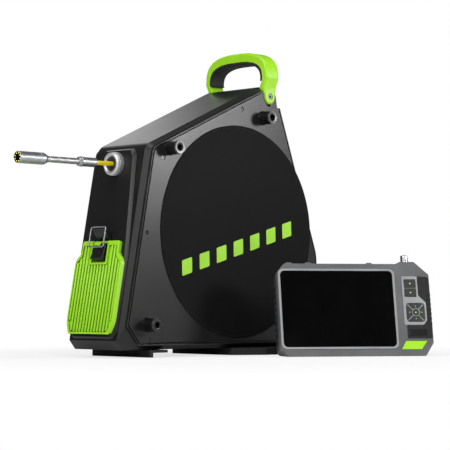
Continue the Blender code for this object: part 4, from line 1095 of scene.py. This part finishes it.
def onHandset(x, y, z):
    return handsetCorner + handsetTurn @ (Vector((x, y, z)) * mm)


def localBox(node):
    # a node's extents in the handset's own axes, in mm
    back = handsetTurn.transposed()
    points = [back @ (vert.co - handsetCorner) / mm for vert in nodes[node].data.vertices]
    low = Vector([min(point[axis] for point in points) for axis in range(3)])
    high = Vector([max(point[axis] for point in points) for axis in range(3)])
    return low, high


def cornersOf(low, high, spread=0.0):
    x0, z0, x1, z1 = low.x - spread, low.z - spread, high.x + spread, high.z + spread
    return [(x0, z0), (x1, z0), (x1, z1), (x0, z1)]


def handsetPlate(name, outline, roundings, back, face, finish, edge=0.3, holes=()):
    bm = outlined([onHandset(x, back, z) for x, z in outline], roundings, 4)
    for inner, rounding in holes:
        second = outlined([onHandset(x, back, z) for x, z in inner], [rounding] * len(inner), 4)
        mesh = bpy.data.meshes.new("hole")
        second.to_mesh(mesh)
        second.free()
        bm.from_mesh(mesh)
        bpy.data.meshes.remove(mesh)
    if holes:
        bmesh.ops.delete(bm, geom=bm.faces[:], context="FACES_ONLY")
        bmesh.ops.triangle_fill(bm, edges=bm.edges[:], use_beauty=True)
    top = set(thicken(bm, handsetTurn @ Vector((0, face - back, 0)) * mm))
    rims = [edge for edge in sharpEdges(bm, 40) if all(vert in top for vert in edge.verts)]
    bevelEdges(bm, rims, edge, 2)
    return place(name, bm, finish, "handset", smooth=30)


def addHandsetCase():
    refined("handset_frame", "handset_front", greyPlastic, "handset", 0.7, 3, 30)
    refined("handset_rear_case", "handset_back", charcoal, "handset", 1.0, 3, 30)
    refined("screen_glass", "screen_pane", screenCover, "handset", 0.25, 2, 40)
    refined("label_plate", "blank_plate", blackPlastic, "handset", 0.2, 2, 40)
    refined("lime_tag", "colour_tag", limePlastic, "handset", 0.2, 2, 40)
    refined("fold_out_stand", "rear_stand", charcoal, "stand", 0.6)


rim = {"spread": 2.2, "overlap": 0.6, "corner": 7.5, "innerCorner": 6, "edge": 0.5, "back": 0.4, "face": -1.0}


def addScreenRim():
    # a pale raised rim round the glass, with rounded corners
    low, high = localBox("screen_glass")
    outer = cornersOf(low, high, rim["spread"])
    holes = [(cornersOf(low, high, -rim["overlap"]), rim["innerCorner"])]
    handsetPlate(
        "screen_rim", outer, [rim["corner"]] * 4, rim["back"], rim["face"], paleGrey,
        rim["edge"], holes,
    )


keys = {
    "edge": 0.35, "printRadius": 1.1, "printTop": 0.95, "printProud": 0.3, "printAt": -1.05,
    "turns": {"key_up": 0, "key_right": 90, "key_down": 180, "key_left": -90},  # where each arrow points
}


def addKeys():
    for name in ("key_record", "key_menu", "key_right", "key_up", "key_left", "key_down", "key_centre"):
        refined(name, name + "_cap", charcoal, name, keys["edge"], 3, 40)
        low, high = localBox(name)
        middle = (low + high) / 2
        dot = bmesh.new()
        bmesh.ops.create_cone(
            dot, cap_ends=True, segments=3 if name in keys["turns"] else 20,
            radius1=keys["printRadius"] * mm, radius2=keys["printTop"] * mm, depth=keys["printProud"] * mm,
        )
        spin = Matrix.Rotation(math.radians(keys["turns"].get(name, 0)), 4, "Y")
        turn = handsetTurn.to_4x4() @ spin @ Matrix.Rotation(math.radians(90), 4, "X")
        spot = Matrix.Translation(onHandset(middle.x, keys["printAt"], middle.z))
        bmesh.ops.transform(dot, matrix=spot @ turn, verts=dot.verts)
        place(name + "_print", dot, keyGlow, name, weighted=False)
    refined("power_key", "power_button", blackRubber, "power_key", 0.5, 3, 40)


def addKeySurrounds():
    # one pale raised panel holds the key pair and the cross of keys
    pairLow, pairHigh = localBox("key_record")[0], localBox("key_menu")[1]
    padLow = Vector((localBox("key_left")[0].x, 0, localBox("key_down")[0].z))
    padHigh = Vector((localBox("key_right")[1].x, 0, localBox("key_up")[1].z))
    left, right = pairLow.x - 3.2, padHigh.x + 2.6
    top, low = pairHigh.z + 4.6, padLow.z - 4.4
    step = pairHigh.x + 2.4
    panel = [
        (left, low), (right - 5, low), (right, low + 6), (right, padHigh.z + 1), (step, padHigh.z + 11),
        (step, top), (left, top),
    ]
    holes = [
        (cornersOf(*localBox("key_record"), 0.5), 1.2), (cornersOf(*localBox("key_menu"), 0.5), 1.2),
        (cornersOf(padLow, padHigh, 0.6), 3.4),
    ]
    handsetPlate("key_panel", panel, [1.5] * 7, 0.3, -0.65, paleGrey, 0.3, holes)
    centre = (padLow + padHigh) / 2
    for index in range(4):  # the pale bars between the arrow keys
        turn = math.radians(45 + 90 * index)
        along, side = Vector((math.cos(turn), math.sin(turn))), Vector((-math.sin(turn), math.cos(turn)))
        bar = []
        for reach, aside in ((5.0, -0.55), (14.4, -0.55), (14.4, 0.55), (5.0, 0.55)):
            spot = centre.xz + along * reach + side * aside
            bar.append((spot.x, spot.y))
        handsetPlate("key_bar_%d" % index, bar, [0] * 4, 0.3, -0.55, paleGrey, 0.15)
    ring = [(4.75, 0.1), (5.5, 0.1), (5.5, -0.45), (5.3, -0.6), (4.9, -0.6), (4.75, -0.45), (4.75, 0.1)]
    profile = [(-depth, radius) for radius, depth in ring]
    bm = turnedShape(profile, onHandset(centre.x, 0, centre.z), handsetTurn @ Vector((0, -1, 0)), 40)
    place("centre_key_ring", bm, paleGrey, "handset", smooth=30)
    return right, top, low, step, padHigh.z


grips = {
    "ridges": 7, "ridgeAbove": 7, "ridgePitch": 6.6, "ridgeHeight": 3.6,
    "ribs": 9, "ribLow": 22, "ribPitch": 9.2, "ribHeight": 4.6, "ribReach": (-1.2, 3.2), "ribDepth": (34, 15),
    "bumpStarts": (8.5, 35.0, 120.0), "bumpWidth": 11,
}


def addGrips(right, top, low, step, padTop):
    # dark rubber pad beside the keys and round the blank plate, with ridges down its outer edge
    edge = localBox("handset_frame")[1].x - 0.9
    plateLow, plateHigh = localBox("label_plate")
    pad = [
        (step + 0.7, top), (edge - 1, top - 1), (edge, top - 4), (edge, plateLow.z - 3),
        (plateLow.x - 3, plateLow.z - 3), (plateLow.x - 3, low - 0.7), (right - 4.7, low - 0.7),
        (right + 0.7, low + 5.8), (right + 0.7, padTop + 1.3), (step + 0.7, padTop + 11.3),
    ]
    holes = [(cornersOf(plateLow, plateHigh, 0.3), 0.6)]
    handsetPlate("right_grip_pad", pad, [1.5] * 10, 0.3, -0.8, blackRubber, 0.3, holes)
    tall = grips["ridgeHeight"]
    for index in range(grips["ridges"]):
        start = plateHigh.z + grips["ridgeAbove"] + index * grips["ridgePitch"]
        inside, outside = edge - 3.6, edge + 0.5
        ridge = [(inside, start), (outside, start), (outside, start + tall), (inside, start + tall)]
        handsetPlate("grip_ridge_%d" % index, ridge, [0.8] * 4, -0.4, -1.6, blackRubber, 0.4)
    (left, inner), (back, face), tall = grips["ribReach"], grips["ribDepth"], grips["ribHeight"]
    for index in range(grips["ribs"]):  # ribs round the left edge of the rear case
        start = grips["ribLow"] + index * grips["ribPitch"]
        rib = [(left, start), (inner, start), (inner, start + tall), (left, start + tall)]
        handsetPlate("left_rib_%d" % index, rib, [1] * 4, back, face, blackRubber, 0.6)
    crown = localBox("handset_frame")[1].z - 3
    base, upper, wide = crown - 2.5, crown + 1.6, grips["bumpWidth"]
    for index, start in enumerate(grips["bumpStarts"]):  # low bumps on the upper edge
        bump = [(start, base), (start + wide, base), (start + wide - 2, upper), (start + 2, upper)]
        handsetPlate("edge_bump_%d" % index, bump, [0.8] * 4, 11.4, 0.4, greyPlastic, 0.6)


connector = {"radius": 6.4, "threadPitch": 1.3, "threadStart": 2.9}


def addConnector():
    low, high = localBox("cable_connector")
    tall = high.z - low.z
    profile = [(0, 0), (0, connector["radius"]), (2.2, connector["radius"]), (2.5, 6.0), (2.5, 4.9)]
    pitch = connector["threadPitch"]
    for turn in range(int((tall - 4) // pitch)):  # thread crests
        start = connector["threadStart"] + turn * pitch
        profile += [(start, 4.8), (start + 0.4, 5.4), (start + 0.8, 5.4), (start + 1.2, 4.8)]
    profile += [(tall - 0.4, 5.3), (tall, 5.0), (tall, 4.4), (tall - 0.3, 4.2), (3.2, 4.2), (3.2, 0)]
    base = onHandset((low.x + high.x) / 2, (low.y + high.y) / 2, low.z)
    bm = turnedShape(profile, base, handsetTurn @ Vector((0, 0, 1)), 48)
    place("threaded_socket", bm, cleanSteel, "handset", ("cable_connector",), 30)


addHandsetCase()
addScreenRim()
addKeys()
addGrips(*addKeySurrounds())
addConnector()
print("handset ready")


# inner pieces keep their solids and take their finish

innerFinishes = {
    "axle": cleanSteel, "bearing_left": cleanSteel, "bearing_right": cleanSteel, "cover_hinge_pin": darkSteel,
    "handset_battery": satinSteel, "handset_board": greenBoard, "slip_ring": cleanSteel,
    "battery_pack": charcoal,
    "rod_drum": greyPlastic, "wound_rod": rodSheath, "push_rod_tail": rodSheath,
    "guide_roller_upper": blackRubber, "guide_roller_lower": blackRubber,
}
for nodeName, finish in innerFinishes.items():
    owned = nodes[nodeName].data
    if not owned.materials:
        owned.materials.append(finish)
    for index in range(len(owned.materials)):
        owned.materials[index] = finish
print("inner pieces ready")
